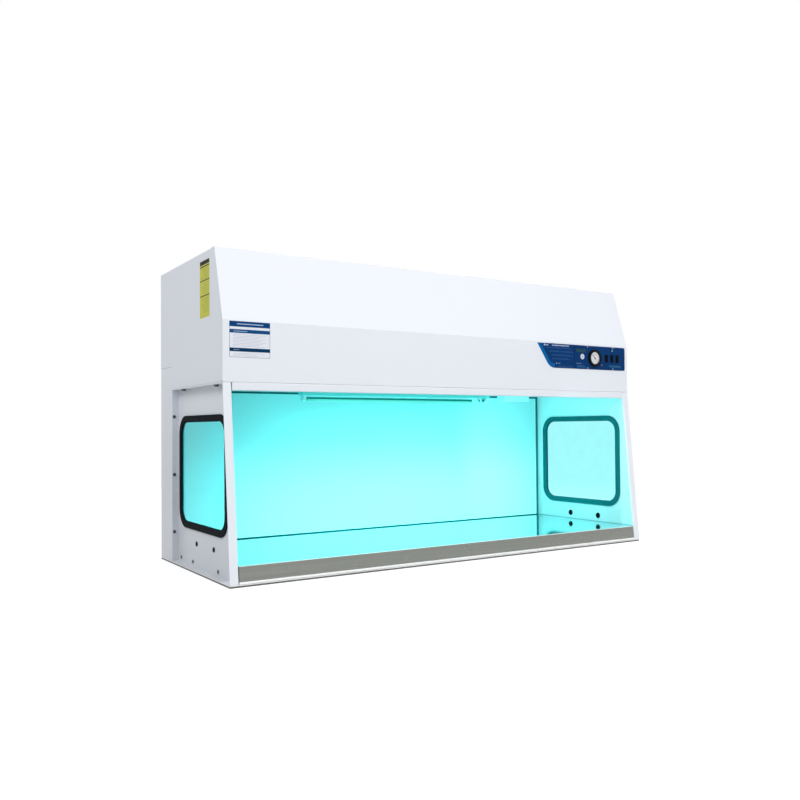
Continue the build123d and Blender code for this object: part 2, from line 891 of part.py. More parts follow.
def impeller_piece(x):
    """Backward-curved impeller: blades between a flat backplate and a flared shroud."""
    axis = Axis((x, fan_y, 0), (0, 0, 1))
    section = facing(fan_y, x)
    centre = blade_centre()
    start = blade_angle(blade_inner, centre)
    sweep_angle = blade_angle(blade_outer, centre) - start
    shroud_edge_z = backplate_z + impeller_sheet + impeller_outlet
    with BuildSketch() as blade:
        with BuildLine():
            outer = CenterArc(centre, blade_radius + impeller_sheet / 2, start, sweep_angle)
            inner = CenterArc(centre, blade_radius - impeller_sheet / 2, start, sweep_angle)
            Line(outer @ 0, inner @ 0)
            Line(outer @ 1, inner @ 1)
        make_face()
    with BuildPart() as impeller:
        with BuildSketch(Plane((x, fan_y, backplate_z + impeller_sheet / 2))) as blades:
            with PolarLocations(0, blade_count):
                add(blade.sketch)
        extrude(amount=impeller_height)
        # The blades' tops follow the shroud
        with BuildSketch(section) as blade_limit:
            with BuildLine():
                Line((0, backplate_z), (0, collar_z))
                Line((0, collar_z), (impeller_eye_radius, collar_z))
                TangentArc(
                    (impeller_eye_radius, collar_z),
                    (impeller_radius, shroud_edge_z + impeller_sheet / 2),
                    tangent=shroud_tangent,
                )
                Line(
                    (impeller_radius, shroud_edge_z + impeller_sheet / 2),
                    (impeller_radius, backplate_z),
                )
                Line((impeller_radius, backplate_z), (0, backplate_z))
            make_face()
        revolve(axis=axis, mode=Mode.INTERSECT)
        with BuildSketch(section) as shroud_section:
            with BuildLine():
                Line(
                    (impeller_eye_radius, shroud_top_z),
                    (impeller_eye_radius, collar_z),
                )
                TangentArc(
                    (impeller_eye_radius, collar_z),
                    (impeller_radius, shroud_edge_z),
                    tangent=shroud_tangent,
                )
                offset(amount=impeller_sheet, side=Side.LEFT)
            make_face()
        revolve(axis=axis)
        with BuildSketch(section) as backplate_section:
            with BuildLine():
                Polyline(
                    (shaft_radius, backplate_z),
                    (impeller_radius, backplate_z),
                    (impeller_radius, backplate_z + impeller_sheet),
                    (hub_radius + hub_root, backplate_z + impeller_sheet),
                    (hub_radius, backplate_z + impeller_sheet + hub_root),
                    (hub_radius - hub_taper, backplate_z + hub_height),
                    (shaft_radius, backplate_z + hub_height),
                    close=True,
                )
            make_face()
        revolve(axis=axis)
    return impeller.part


def blower(side, x):
    """All the pieces of one blower, hung from the roof over x."""
    axis = Axis((x, fan_y, 0), (0, 0, 1))
    section = facing(fan_y, x)
    box_length = intake_length + 2 * sheet
    box_width = intake_depth + 2 * sheet

    with BuildPart() as grille:
        slot_length = (intake_length - (grille_columns + 1) * grille_margin) / grille_columns
        slot_pitch = (intake_depth - 2 * grille_margin + grille_bar) / grille_rows
        with BuildSketch(Plane((x, fan_y, grille_top_z - sheet))) as grille_outline:
            RectangleRounded(
                intake_length + 2 * grille_margin,
                intake_depth + 2 * grille_margin,
                2 * bend_radius,
            )
            with GridLocations(
                slot_length + grille_margin, slot_pitch, grille_columns, grille_rows
            ):
                Rectangle(slot_length, slot_pitch - grille_bar, mode=Mode.SUBTRACT)
        extrude(amount=sheet)
    pieces[f"{side}_intake_grille"] = grille.part

    with BuildPart() as intake_box:
        with BuildSketch(Plane((x, fan_y, box_floor_z - sheet))) as box_outline:
            Rectangle(box_length, box_width)
        extrude(amount=box_depth + sheet)
        with BuildSketch(Plane((x, fan_y, box_top_z - sheet))) as box_rim:
            Rectangle(intake_length + 2 * grille_margin, intake_depth + 2 * grille_margin)
        extrude(amount=sheet)
        with BuildSketch(Plane((x, fan_y, box_floor_z))) as box_hollow:
            Rectangle(intake_length, intake_depth)
        extrude(amount=box_depth, mode=Mode.SUBTRACT)
        # Ledge that the prefilter lies on
        ledge_z = box_top_z - prefilter_drop - prefilter_thickness
        with BuildSketch(Plane((x, fan_y, ledge_z - sheet))) as ledge:
            Rectangle(intake_length, intake_depth)
            Rectangle(
                intake_length - 2 * ledge_width,
                intake_depth - 2 * ledge_width,
                mode=Mode.SUBTRACT,
            )
        extrude(amount=sheet)
        with BuildSketch(Plane((x, fan_y, box_floor_z - sheet))) as box_hole:
            Circle(ring_throat_radius + ring_flare + sheet)
        extrude(amount=sheet, mode=Mode.SUBTRACT)
    pieces[f"{side}_intake_box"] = intake_box.part

    # Pleated pad in a shallow frame
    with BuildPart() as prefilter:
        pad_length = intake_length - prefilter_play
        pad_width = intake_depth - prefilter_play
        with BuildSketch(Plane((x, fan_y, ledge_z))) as pad_frame:
            Rectangle(pad_length, pad_width)
            Rectangle(pad_length - 2 * prefilter_rim, pad_width - 2 * prefilter_rim, mode=Mode.SUBTRACT)
        extrude(amount=prefilter_thickness)
        with BuildSketch(facing(fan_y + pad_width / 2 - prefilter_rim, x, ledge_z)) as pad_pleats:
            pad_half = pad_length / 2 - prefilter_rim
            pad_pitch = pad_half / prefilter_pleats
            pad_rise = prefilter_thickness - 2 * prefilter_margin - prefilter_pad
            pad_folds = [
                (-pad_half + n * pad_pitch, prefilter_margin + (n % 2) * pad_rise)
                for n in range(2 * prefilter_pleats + 1)
            ]
            with BuildLine():
                pad_backs = [(u, v + prefilter_pad) for u, v in reversed(pad_folds)]
                Polyline(*pad_folds, *pad_backs, close=True)
            make_face()
        extrude(amount=pad_width - 2 * prefilter_rim)
    pieces[f"{side}_prefilter"] = prefilter.part

    # Bellmouth that leads the air into the impeller's eye
    with BuildPart() as inlet_ring:
        flange_top_z = box_floor_z - sheet
        flare_radius = ring_throat_radius + ring_flare
        with BuildSketch(section) as ring_section:
            with BuildLine():
                Line((flare_radius + ring_flange, flange_top_z), (flare_radius, flange_top_z))
                TangentArc(
                    (flare_radius, flange_top_z),
                    (ring_throat_radius, flange_top_z - ring_flare),
                    tangent=(-1, 0),
                )
                Line(
                    (ring_throat_radius, flange_top_z - ring_flare),
                    (ring_throat_radius, flange_top_z - ring_drop),
                )
                offset(amount=sheet, side=Side.LEFT)
            make_face()
        revolve(axis=axis)
    pieces[f"{side}_inlet_ring"] = inlet_ring.part

    pieces[f"{side}_impeller"] = impeller_piece(x)

    # Motor: finned housing on a foot, with a bore for the shaft
    with BuildPart() as motor:
        with BuildSketch(section) as motor_section:
            with BuildLine():
                bore = shaft_radius + shaft_clearance
                Polyline(
                    (bore, motor_top_z),
                    (bore + motor_boss, motor_top_z),
                    (bore + motor_boss, motor_top_z - motor_boss_height),
                    (motor_radius - motor_dish, motor_top_z - motor_dish),
                    (motor_radius, motor_top_z - motor_shoulder),
                    (motor_radius, motor_base_z + motor_foot),
                    (motor_radius + motor_foot_rim, motor_base_z + motor_foot),
                    (motor_radius + motor_foot_rim, motor_base_z),
                    (bore, motor_base_z),
                    close=True,
                )
            make_face()
        revolve(axis=axis)
        fin_height = motor_height - motor_shoulder - motor_foot
        with BuildSketch(Plane((x, fan_y, motor_base_z + motor_foot))) as fins:
            with PolarLocations(motor_radius - motor_fin_root, motor_fins):
                Rectangle(motor_fin_depth, motor_fin_width, align=(Align.MIN, Align.CENTER))
        extrude(amount=fin_height)
    pieces[f"{side}_motor"] = motor.part

    with BuildPart() as motor_shaft:
        with BuildSketch(Plane((x, fan_y, motor_base_z + shaft_recess))) as shaft_circle:
            Circle(shaft_radius)
        extrude(amount=backplate_z + hub_height - motor_base_z)
        shaft_end = motor_shaft.edges().filter_by(GeomType.CIRCLE).sort_by(Axis.Z)[-1]
        chamfer(shaft_end, length=shaft_chamfer)
    pieces[f"{side}_motor_shaft"] = motor_shaft.part

    # Folded strap: base under the motor, two legs up past the impeller, feet on the box
    with BuildPart() as motor_bracket:
        leg_x = impeller_radius + bracket_clearance
        strap_foot_z = box_floor_z - sheet - bracket_sheet
        strap_base_z = motor_base_z - bracket_sheet
        with BuildSketch(facing(fan_y + bracket_width / 2, x)) as strap_section:
            with BuildLine():
                FilletPolyline(
                    (-leg_x - bracket_foot, strap_foot_z),
                    (-leg_x, strap_foot_z),
                    (-leg_x, strap_base_z),
                    (leg_x, strap_base_z),
                    (leg_x, strap_foot_z),
                    (leg_x + bracket_foot, strap_foot_z),
                    radius=2 * bend_radius,
                )
                offset(amount=bracket_sheet, side=Side.LEFT)
            make_face()
        extrude(amount=bracket_width)
        with BuildSketch(Plane((x, fan_y, strap_base_z - sheet))) as strap_hole:
            Circle(motor_radius / 2)
        extrude(amount=2 * bracket_sheet + sheet, mode=Mode.SUBTRACT)
    pieces[f"{side}_motor_bracket"] = motor_bracket.part


blower("left", -fan_offset)
blower("right", fan_offset)


# ------------------------------------------------------------------ control panel
with BuildPart() as control_plate:
    with BuildSketch(facing(fascia_y)) as plate_outline:
        with BuildLine():
            Polyline(
                (plate_left, plate_top_z),
                (plate_right, plate_top_z),
                (plate_right, plate_bottom_z),
                (plate_left + plate_slant, plate_bottom_z),
                close=True,
            )
        make_face()
        low_corner = plate_outline.vertices().sort_by(Axis.Y)[:2].sort_by(Axis.X)[0]
        fillet(low_corner, radius=plate_slant_corner)
        right_corners = plate_outline.vertices().sort_by(Axis.X)[-2:]
        fillet(right_corners, radius=plate_corner)
    extrude(amount=plate_thickness)
    with BuildSketch(facing(fascia_y + cutter_depth)) as plate_holes:
        panel_cutouts()
    extrude(amount=2 * cutter_depth, mode=Mode.SUBTRACT)
pieces["control_plate"] = control_plate.part

# Pressure gauge
gauge_axis = Axis((gauge_x, 0, gauge_z), (0, -1, 0))
bezel_y = plate_face_y - gauge_bezel_height
pocket_radius = gauge_bezel_radius - gauge_rim
dial_y = bezel_y + dial_depth


def gauge_plane(y):
    """Plane across the gauge at depth y, facing the front."""
    return facing(y, gauge_x, gauge_z)


def turned_plane(y):
    """Half-section plane through the gauge's axis: own X is radial, own Y runs back from y."""
    return Plane(origin=(gauge_x, y, gauge_z), x_dir=(1, 0, 0), z_dir=(0, 0, 1))


with BuildPart() as gauge_housing:
    with BuildSketch(turned_plane(bezel_y)) as housing_section:
        with BuildLine():
            Polyline(
                (0, dial_depth + dial_thickness),
                (pocket_radius, dial_depth + dial_thickness),
                (pocket_radius, lens_inset),
                (pocket_radius + gauge_bevel, 0),
                (gauge_bezel_radius - gauge_edge, 0),
                (gauge_bezel_radius, gauge_edge),
                (gauge_bezel_radius, gauge_bezel_height),
                (gauge_body_radius, gauge_bezel_height),
                (gauge_body_radius, gauge_bezel_height + gauge_body_depth),
                (0, gauge_bezel_height + gauge_body_depth),
                close=True,
            )
        make_face()
    revolve(axis=gauge_axis)
    with BuildSketch(gauge_plane(dial_y)) as arbor_bore:
        Circle(pointer_shaft_radius + pointer_clearance)
    extrude(amount=-arbor_length - arbor_end_gap, mode=Mode.SUBTRACT)
pieces["gauge_housing"] = gauge_housing.part

with BuildPart() as gauge_dial:
    with BuildSketch(gauge_plane(dial_y + dial_thickness)) as dial_disc:
        Circle(pocket_radius - dial_clearance)
        Circle(pointer_shaft_radius + pointer_clearance, mode=Mode.SUBTRACT)
    extrude(amount=dial_thickness)
pieces["gauge_dial"] = gauge_dial.part

with BuildPart() as gauge_lens:
    with BuildSketch(gauge_plane(bezel_y + lens_inset + lens_thickness)) as lens_disc:
        Circle(pocket_radius - dial_clearance)
    extrude(amount=lens_thickness)
pieces["gauge_lens"] = gauge_lens.part

# The needle rests at the low end of the dial, half its sweep left of the top
needle_angle = math.radians(pointer_sweep / 2)
with BuildPart() as gauge_pointer:
    needle_plane = Plane(
        origin=(gauge_x, dial_y - pointer_lift, gauge_z),
        x_dir=(-math.sin(needle_angle), 0, math.cos(needle_angle)),
        z_dir=(0, -1, 0),
    )
    with BuildSketch(needle_plane) as needle:
        with BuildLine():
            Polyline(
                (-pointer_tail, -pointer_root_width / 2),
                (pointer_length, -pointer_tip_width / 2),
                (pointer_length, pointer_tip_width / 2),
                (-pointer_tail, pointer_root_width / 2),
                close=True,
            )
        make_face()
        Circle(pointer_hub_radius)
    extrude(amount=pointer_thickness)
    with BuildSketch(needle_plane) as arbor:
        Circle(pointer_shaft_radius)
    extrude(amount=-arbor_length)
pieces["gauge_pointer"] = gauge_pointer.part

# Rocker switches: frames with a pocket, and rockers on trunnions
pivot_y = plate_face_y + rocker_pivot_depth
pocket_width = switch_body_width - 2 * switch_wall
pocket_height = switch_body_height - 2 * switch_end_wall
rocker_width = pocket_width - 2 * rocker_clearance
rocker_reach = pocket_height / 2 - rocker_clearance
pocket_depth = rocker_pivot_depth + rocker_reach / 2

with BuildPart() as switch_frames:
    with BuildSketch(facing(plate_face_y)) as switch_bezels:
        with Locations(*panel_points["switch"]):
            RectangleRounded(switch_bezel_width, switch_bezel_height, switch_corner)
    extrude(amount=switch_bezel)
    with BuildSketch(facing(plate_face_y)) as switch_bodies:
        with Locations(*panel_points["switch"]):
            Rectangle(switch_body_width, switch_body_height)
    extrude(amount=-switch_body_depth)
    with BuildSketch(facing(plate_face_y + pocket_depth)) as switch_pockets:
        with Locations(*panel_points["switch"]):
            Rectangle(pocket_width, pocket_height)
    extrude(amount=pocket_depth + switch_bezel, mode=Mode.SUBTRACT)
    for switch_x in switch_xs:
        with BuildSketch(sideways(switch_x, pivot_y, switch_z)) as trunnion_bore:
            Circle(trunnion_radius + trunnion_play)
        bore_half = pocket_width / 2 + trunnion_length
        extrude(amount=bore_half, both=True, mode=Mode.SUBTRACT)
pieces["switch_frames"] = switch_frames.part


def rocker(x, tilt):
    """Rocker at rest: its face is a shallow V, and its ends are round about the pivot."""
    turn = math.radians(tilt)
    slope = math.tan(math.radians(rocker_travel / 2))
    plane = Plane(
        origin=(x, pivot_y, switch_z),
        x_dir=(0, -math.cos(turn), -math.sin(turn)),
        z_dir=(1, 0, 0),
    )
    with BuildPart() as cap:
        with BuildSketch(plane) as cap_section:
            with BuildLine():
                edge = 1.2 * rocker_reach
                Polyline(
                    (-rocker_root, -edge),
                    (rocker_rise + edge * slope, -edge),
                    (rocker_rise, 0),
                    (rocker_rise + edge * slope, edge),
                    (-rocker_root, edge),
                    close=True,
                )
            make_face()
            Circle(rocker_reach, mode=Mode.INTERSECT)
        extrude(amount=rocker_width / 2, both=True)
        with BuildSketch(plane) as trunnion:
            Circle(trunnion_radius)
        extrude(amount=rocker_width / 2 + rocker_clearance + trunnion_length - trunnion_play, both=True)
    return cap.part


# The blower and the light are off at rest, the ultraviolet lamp is on
pieces["blower_rocker"] = rocker(switch_xs[0], rocker_travel / 2)
pieces["light_rocker"] = rocker(switch_xs[1], rocker_travel / 2)
pieces["uv_rocker"] = rocker(switch_xs[2], -rocker_travel / 2)

with BuildPart() as indicator_lamp:
    face = facing(plate_face_y, lamp_x, lamp_z)
    add(screw(face, lamp_radius - lamp_shoulder, lamp_radius, lamp_height, lamp_length))
pieces["indicator_lamp"] = indicator_lamp.part

with BuildPart() as test_port:
    with BuildSketch(facing(plate_face_y, port_x, port_z)) as port_flange:
        Circle(port_radius)
    extrude(amount=port_flange_thickness)
    with BuildSketch(facing(plate_face_y, port_x, port_z)) as port_stem:
        Circle(lamp_radius - lamp_shoulder)
    extrude(amount=port_length)
    extrude(port_stem.sketch, amount=-port_length)
    with BuildSketch(facing(plate_face_y - port_length, port_x, port_z)) as port_hole:
        Circle(port_bore)
    extrude(amount=-2 * port_length, mode=Mode.SUBTRACT)
pieces["test_port"] = test_port.part

with BuildPart() as panel_screws:
    for screw_x, screw_z in panel_points["screw"]:
        face = facing(plate_face_y, screw_x, screw_z)
        add(screw(face, panel_screw_radius, panel_screw_head, panel_screw_head_height, screw_length))
pieces["panel_screws"] = panel_screws.part


# ------------------------------------------------------------------ lamps and electrical pieces
# Ultraviolet fitting on the ceiling
with BuildPart() as uv_batten:
    with BuildSketch(sideways(-uv_batten_length / 2, uv_y, ceiling_z)) as batten_section:
        with BuildLine():
            batten_half = uv_batten_width / 2
            FilletPolyline(
                (-batten_half, 0),
                (-batten_half, -uv_batten_height / 2),
                (-batten_half + batten_taper, -uv_batten_height),
                (batten_half - batten_taper, -uv_batten_height),
                (batten_half, -uv_batten_height / 2),
                (batten_half, 0),
                radius=bend_radius - 1,
            )
            offset(amount=thin_sheet, side=Side.LEFT)
        make_face()
    extrude(amount=uv_batten_length)
    for end_x in (-uv_batten_length / 2, uv_batten_length / 2 - thin_sheet):
        with BuildSketch(sideways(end_x, uv_y, ceiling_z)) as batten_end:
            with BuildLine():
                Polyline(
                    (-batten_half, 0),
                    (-batten_half, -uv_batten_height / 2),
                    (-batten_half + batten_taper, -uv_batten_height),
                    (batten_half - batten_taper, -uv_batten_height),
                    (batten_half, -uv_batten_height / 2),
                    (batten_half, 0),
                    close=True,
                )
            make_face()
        extrude(amount=thin_sheet)
pieces["uv_batten"] = uv_batten.part


def tube(span, radius, y, z):
    """Glass tube with metal end caps. Its two pins at each end reach into the holders."""
    with BuildPart() as lamp:
        with BuildSketch(sideways(-span / 2, y, z)) as tube_circle:
            Circle(radius)
        extrude(amount=span)
        ends = lamp.edges().filter_by(GeomType.CIRCLE)
        fillet(ends, radius=cap_round)
        for end_x, reach in ((-span / 2, -1), (span / 2, 1)):
            with BuildSketch(sideways(end_x, y, z)) as cap_ring:
                Circle(radius + cap_sheet)
            extrude(amount=-reach * cap_length)
            with BuildSketch(sideways(end_x, y, z)) as pins:
                with Locations((0, -pin_spread), (0, pin_spread)):
                    Circle(pin_radius)
            extrude(amount=reach * (socket_depth - pin_play))
    return lamp.part


def lampholders(span, y, z, top_z, half, thickness, radius):
    """Pair of holders that hang from top_z and take the pins of a tube at height z."""
    with BuildPart() as holders:
        for face_x, away in ((-span / 2, -1), (span / 2, 1)):
            with BuildSketch(sideways(face_x, y, z)) as holder_outline:
                with Locations((0, (top_z - z) / 2)):
                    Rectangle(2 * half, top_z - z)
                Circle(radius)
                with Locations((0, -pin_spread), (0, pin_spread)):
                    Circle(pin_radius + holder_clearance, mode=Mode.SUBTRACT)
            extrude(amount=away * socket_depth)
            with BuildSketch(sideways(face_x + away * socket_depth, y, z)) as holder_back:
                with Locations((0, (top_z - z) / 2)):
                    Rectangle(2 * half, top_z - z)
                Circle(radius)
            extrude(amount=away * (thickness - socket_depth))
    return holders.part


pieces["uv_lamp"] = tube(uv_holder_span - 2 * holder_clearance, uv_tube_radius, uv_y, uv_tube_z)
pieces["uv_lampholders"] = lampholders(
    uv_holder_span,
    uv_y,
    uv_tube_z,
    ceiling_z - uv_batten_height,
    uv_holder_width / 2,
    uv_holder_thickness,
    uv_tube_radius + holder_rim,
)

# Ballast cover beside the ultraviolet fitting
with BuildPart() as uv_ballast_cover:
    with BuildSketch(
        Plane((cover_left + cover_length / 2, uv_y, ceiling_z))
    ) as cover_outline:
        RectangleRounded(cover_length, cover_width, cover_corner)
    extrude(amount=-cover_height)
    bottom_rim = uv_ballast_cover.faces().sort_by(Axis.Z)[0].edges()
    fillet(bottom_rim, radius=cover_round)
    with BuildSketch(
        Plane((cover_left + cover_length / 2, uv_y, ceiling_z))
    ) as cover_hollow:
        Rectangle(cover_length - 4 * sheet, cover_width - 4 * sheet)
    extrude(amount=-cover_height + sheet, mode=Mode.SUBTRACT)
pieces["uv_ballast_cover"] = uv_ballast_cover.part

# Work light tucked behind the ceiling's front lip
work_lamp_z = ceiling_z - work_lamp_drop
with BuildPart() as work_light_tray:
    with BuildSketch(
        sideways(-work_tray_length / 2, work_lamp_y, ceiling_z)
    ) as tray_section:
        with BuildLine():
            tray_edge = work_tray_width / 2
            Polyline(
                (-tray_edge, -work_tray_height),
                (-tray_edge + work_tray_flare, 0),
                (tray_edge - work_tray_flare, 0),
                (tray_edge, -work_tray_height),
            )
            offset(amount=thin_sheet, side=Side.RIGHT)
        make_face()
    extrude(amount=work_tray_length)
pieces["work_light_tray"] = work_light_tray.part

pieces["work_lamp"] = tube(
    work_lamp_span - 2 * holder_clearance, work_lamp_radius, work_lamp_y, work_lamp_z
)
pieces["work_lampholders"] = lampholders(
    work_lamp_span,
    work_lamp_y,
    work_lamp_z,
    ceiling_z - thin_sheet,
    work_holder_half,
    uv_holder_thickness,
    work_lamp_radius + holder_rim / 2,
)

# Ballasts of the two lamps, on the deck inside the upper casing
with BuildPart() as ballasts:
    with BuildSketch(Plane.XY.offset(deck_z)) as ballast_feet:
        with Locations((-ballast_x, ballast_y), (ballast_x, ballast_y)):
            RectangleRounded(ballast_length, ballast_width, ballast_corner)
    extrude(amount=ballast_foot)
    with BuildSketch(Plane.XY.offset(deck_z)) as ballast_cases:
        with Locations((-ballast_x, ballast_y), (ballast_x, ballast_y)):
            RectangleRounded(
                ballast_length - 2 * ballast_lug, ballast_width - 2 * ballast_side, ballast_corner
            )
    extrude(amount=ballast_height)
    case_tops = ballasts.faces().sort_by(Axis.Z)[-2:].edges()
    fillet(case_tops, radius=ballast_side)
pieces["ballasts"] = ballasts.part

# Three-pin inlet, held from inside the upper back panel. Its collar ends flush outside
with BuildPart() as power_inlet:
    inlet_face = Plane(origin=(inlet_x, back_y, inlet_z), x_dir=(-1, 0, 0), z_dir=(0, 1, 0))
    with BuildSketch(inlet_face.offset(-sheet)) as inlet_flange:
        RectangleRounded(inlet_plate_width, inlet_plate_height, inlet_plate_corner)
    extrude(amount=-inlet_plate_thickness)
    with BuildSketch(inlet_face) as inlet_body:
        Rectangle(inlet_mouth_width + 2 * inlet_wall, inlet_mouth_height + 2 * inlet_wall)
    extrude(amount=-inlet_depth)
    with BuildSketch(inlet_face) as inlet_mouth:
        Rectangle(inlet_mouth_width, inlet_mouth_height)
        top_corners = inlet_mouth.vertices().sort_by(Axis.Y)[-2:]
        chamfer(top_corners, length=inlet_mouth_chamfer)
    extrude(amount=-inlet_recess, mode=Mode.SUBTRACT)
    with BuildSketch(inlet_face.offset(-inlet_recess)) as inlet_pins:
        with Locations(
            (-inlet_pin_pitch, -inlet_pin_rise),
            (inlet_pin_pitch, -inlet_pin_rise),
            (0, inlet_pin_rise),
        ):
            Rectangle(inlet_pin_thickness, inlet_pin_width)
    extrude(amount=inlet_pin_length)
pieces["power_inlet"] = power_inlet.part


# ------------------------------------------------------------------ one file for each piece
for name, piece in pieces.items():
    piece.label = name
    export_step(piece, f"parts/{name}.step")
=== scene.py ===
import math

import bmesh
import bpy
from mathutils import Matrix, Vector


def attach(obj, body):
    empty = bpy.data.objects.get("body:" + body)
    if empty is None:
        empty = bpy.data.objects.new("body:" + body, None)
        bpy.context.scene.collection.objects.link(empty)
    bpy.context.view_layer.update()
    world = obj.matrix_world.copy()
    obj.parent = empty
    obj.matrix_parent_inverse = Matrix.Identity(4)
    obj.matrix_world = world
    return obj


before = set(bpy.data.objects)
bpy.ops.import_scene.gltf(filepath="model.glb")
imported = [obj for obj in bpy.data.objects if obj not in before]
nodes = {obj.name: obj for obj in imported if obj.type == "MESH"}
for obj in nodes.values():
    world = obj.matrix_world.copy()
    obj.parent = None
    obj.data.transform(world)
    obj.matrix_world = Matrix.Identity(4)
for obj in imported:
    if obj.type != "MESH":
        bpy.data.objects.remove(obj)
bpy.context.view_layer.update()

# The cabinet's main planes and lines, in metres.
HALF_WIDTH = 0.940  # outer face of the casing and the columns
WALL_X = 0.912  # inner face of the side walls
RETURN_X = 0.910  # inner face of the posts' folded returns
FRONT = 0.365  # front of the plinth, and the back lies as far behind
SLANT = 59 / 626  # how far the posts and the apron lean back for their height
LIP_Z = 0.6245  # foot of the lip over the opening
FASCIA_Y = -0.306
PLATE_Y = -0.3075  # face of the control plate, under its screws
ROOF_Z = 1.105
GRILLE_X, GRILLE_Y = 0.46, 0.06  # middle of each roof grille
TUBE_Y, TUBE_Z = 0.100, 0.619  # middle line of the ultraviolet tube
DIAL_X, DIAL_Z, DIAL_Y = 0.736, 0.797, -0.3095  # middle and face of the gauge's dial


# ---------------------------------------------------------------- shader maths


class Wire:
    """A value that runs between two shader nodes, so that sums of values read as sums."""

    def __init__(self, finish, socket):
        self.finish = finish
        self.socket = socket

    def math(self, operation, *others):
        return self.finish.node("ShaderNodeMath", {"operation": operation}, dict(enumerate(others)))

    def __add__(self, other):
        return self.math("ADD", self, other)

    def __sub__(self, other):
        return self.math("SUBTRACT", self, other)

    def __rsub__(self, other):
        return self.math("SUBTRACT", other, self)

    def __mul__(self, other):
        return self.math("MULTIPLY", self, other)

    def __lt__(self, other):
        return self.math("LESS_THAN", self, other)

    def __gt__(self, other):
        return self.math("GREATER_THAN", self, other)

    def __mod__(self, other):
        return self.math("FLOORED_MODULO", self, other)

    def __abs__(self):
        return self.math("ABSOLUTE", self)

    def either(self, other):
        return self.math("MAXIMUM", self, other)


class Finish:
    """One surface finish: a Principled shader whose colour, roughness and bump are patterns in metres."""

    def __init__(self, name, **constants):
        self.material = bpy.data.materials.new(name)
        self.material.use_nodes = True
        self.tree = self.material.node_tree
        self.shader = self.tree.nodes["Principled BSDF"]
        for socket, value in constants.items():
            self.shader.inputs[socket.replace("_", " ")].default_value = value
        self.place = self.node("ShaderNodeTexCoord", out="Object")

    def node(self, kind, settings=None, sockets=None, out=0):
        """Adds a node: its settings first, then the values or links of its sockets."""
        new = self.tree.nodes.new(kind)
        for name, value in (settings or {}).items():
            setattr(new, name, value)
        for name, value in (sockets or {}).items():
            if isinstance(value, Wire):
                self.tree.links.new(value.socket, new.inputs[name])
            else:
                new.inputs[name].default_value = value
        return Wire(self, new.outputs[out])

    def axis(self, name):
        """One coordinate of the point on the piece, in metres."""
        return self.node("ShaderNodeSeparateXYZ", None, {0: self.place}, name)

    def stretched(self, scale):
        return self.node("ShaderNodeMapping", None, {"Vector": self.place, "Scale": scale})

    def noise(self, scale, detail=3.0, roughness=0.5, place=None):
        sockets = {"Vector": place or self.place, "Scale": scale, "Detail": detail, "Roughness": roughness}
        return self.node("ShaderNodeTexNoise", None, sockets, "Fac")

    def spread(self, value, low, high):
        """A value that runs between two (value, tone) ends and stays at each beyond it."""
        return self.node("ShaderNodeMapRange", None, {"Value": value, "From Min": low[0], "From Max": high[0],
                                                      "To Min": low[1], "To Max": high[1]})

    def blend(self, mask, under, over):
        """The colour over, laid on the colour under where the mask is 1."""
        colours = [value if isinstance(value, Wire) else (*value, 1.0) for value in (under, over)]
        return self.node("ShaderNodeMix", {"data_type": "RGBA"}, {0: mask, 6: colours[0], 7: colours[1]}, 2)

    def shaded(self, colour, tone):
        """A colour multiplied by a tone that varies about 1."""
        return self.node("ShaderNodeVectorMath", {"operation": "SCALE"},
                         {0: colour if isinstance(colour, Wire) else tuple(colour[:3]), "Scale": tone})

    def bump(self, height, distance, strength):
        return self.node("ShaderNodeBump", None, {"Height": height, "Distance": distance, "Strength": strength})

    def distance_to(self, point):
        return self.node("ShaderNodeVectorMath", {"operation": "DISTANCE"}, {0: self.place, 1: point}, 1)

    def box(self, across, x0, x1, up, z0, z1, soft=0.0003):
        """1 inside a printed rectangle, 0 outside, with an edge that is only just soft."""
        half_x, half_z = (x1 - x0) / 2, (z1 - z0) / 2
        beside = abs(across - (x0 + x1) / 2) - half_x
        above = abs(up - (z0 + z1) / 2) - half_z
        outside = beside.either(above)
        return self.spread(outside, (-soft, 1.0), (soft, 0.0))

    def wear(self, **wires):
        for socket, value in wires.items():
            self.tree.links.new(value.socket, self.shader.inputs[socket.replace("_", " ")])
        return self.material


# ---------------------------------------------------------------- finishes


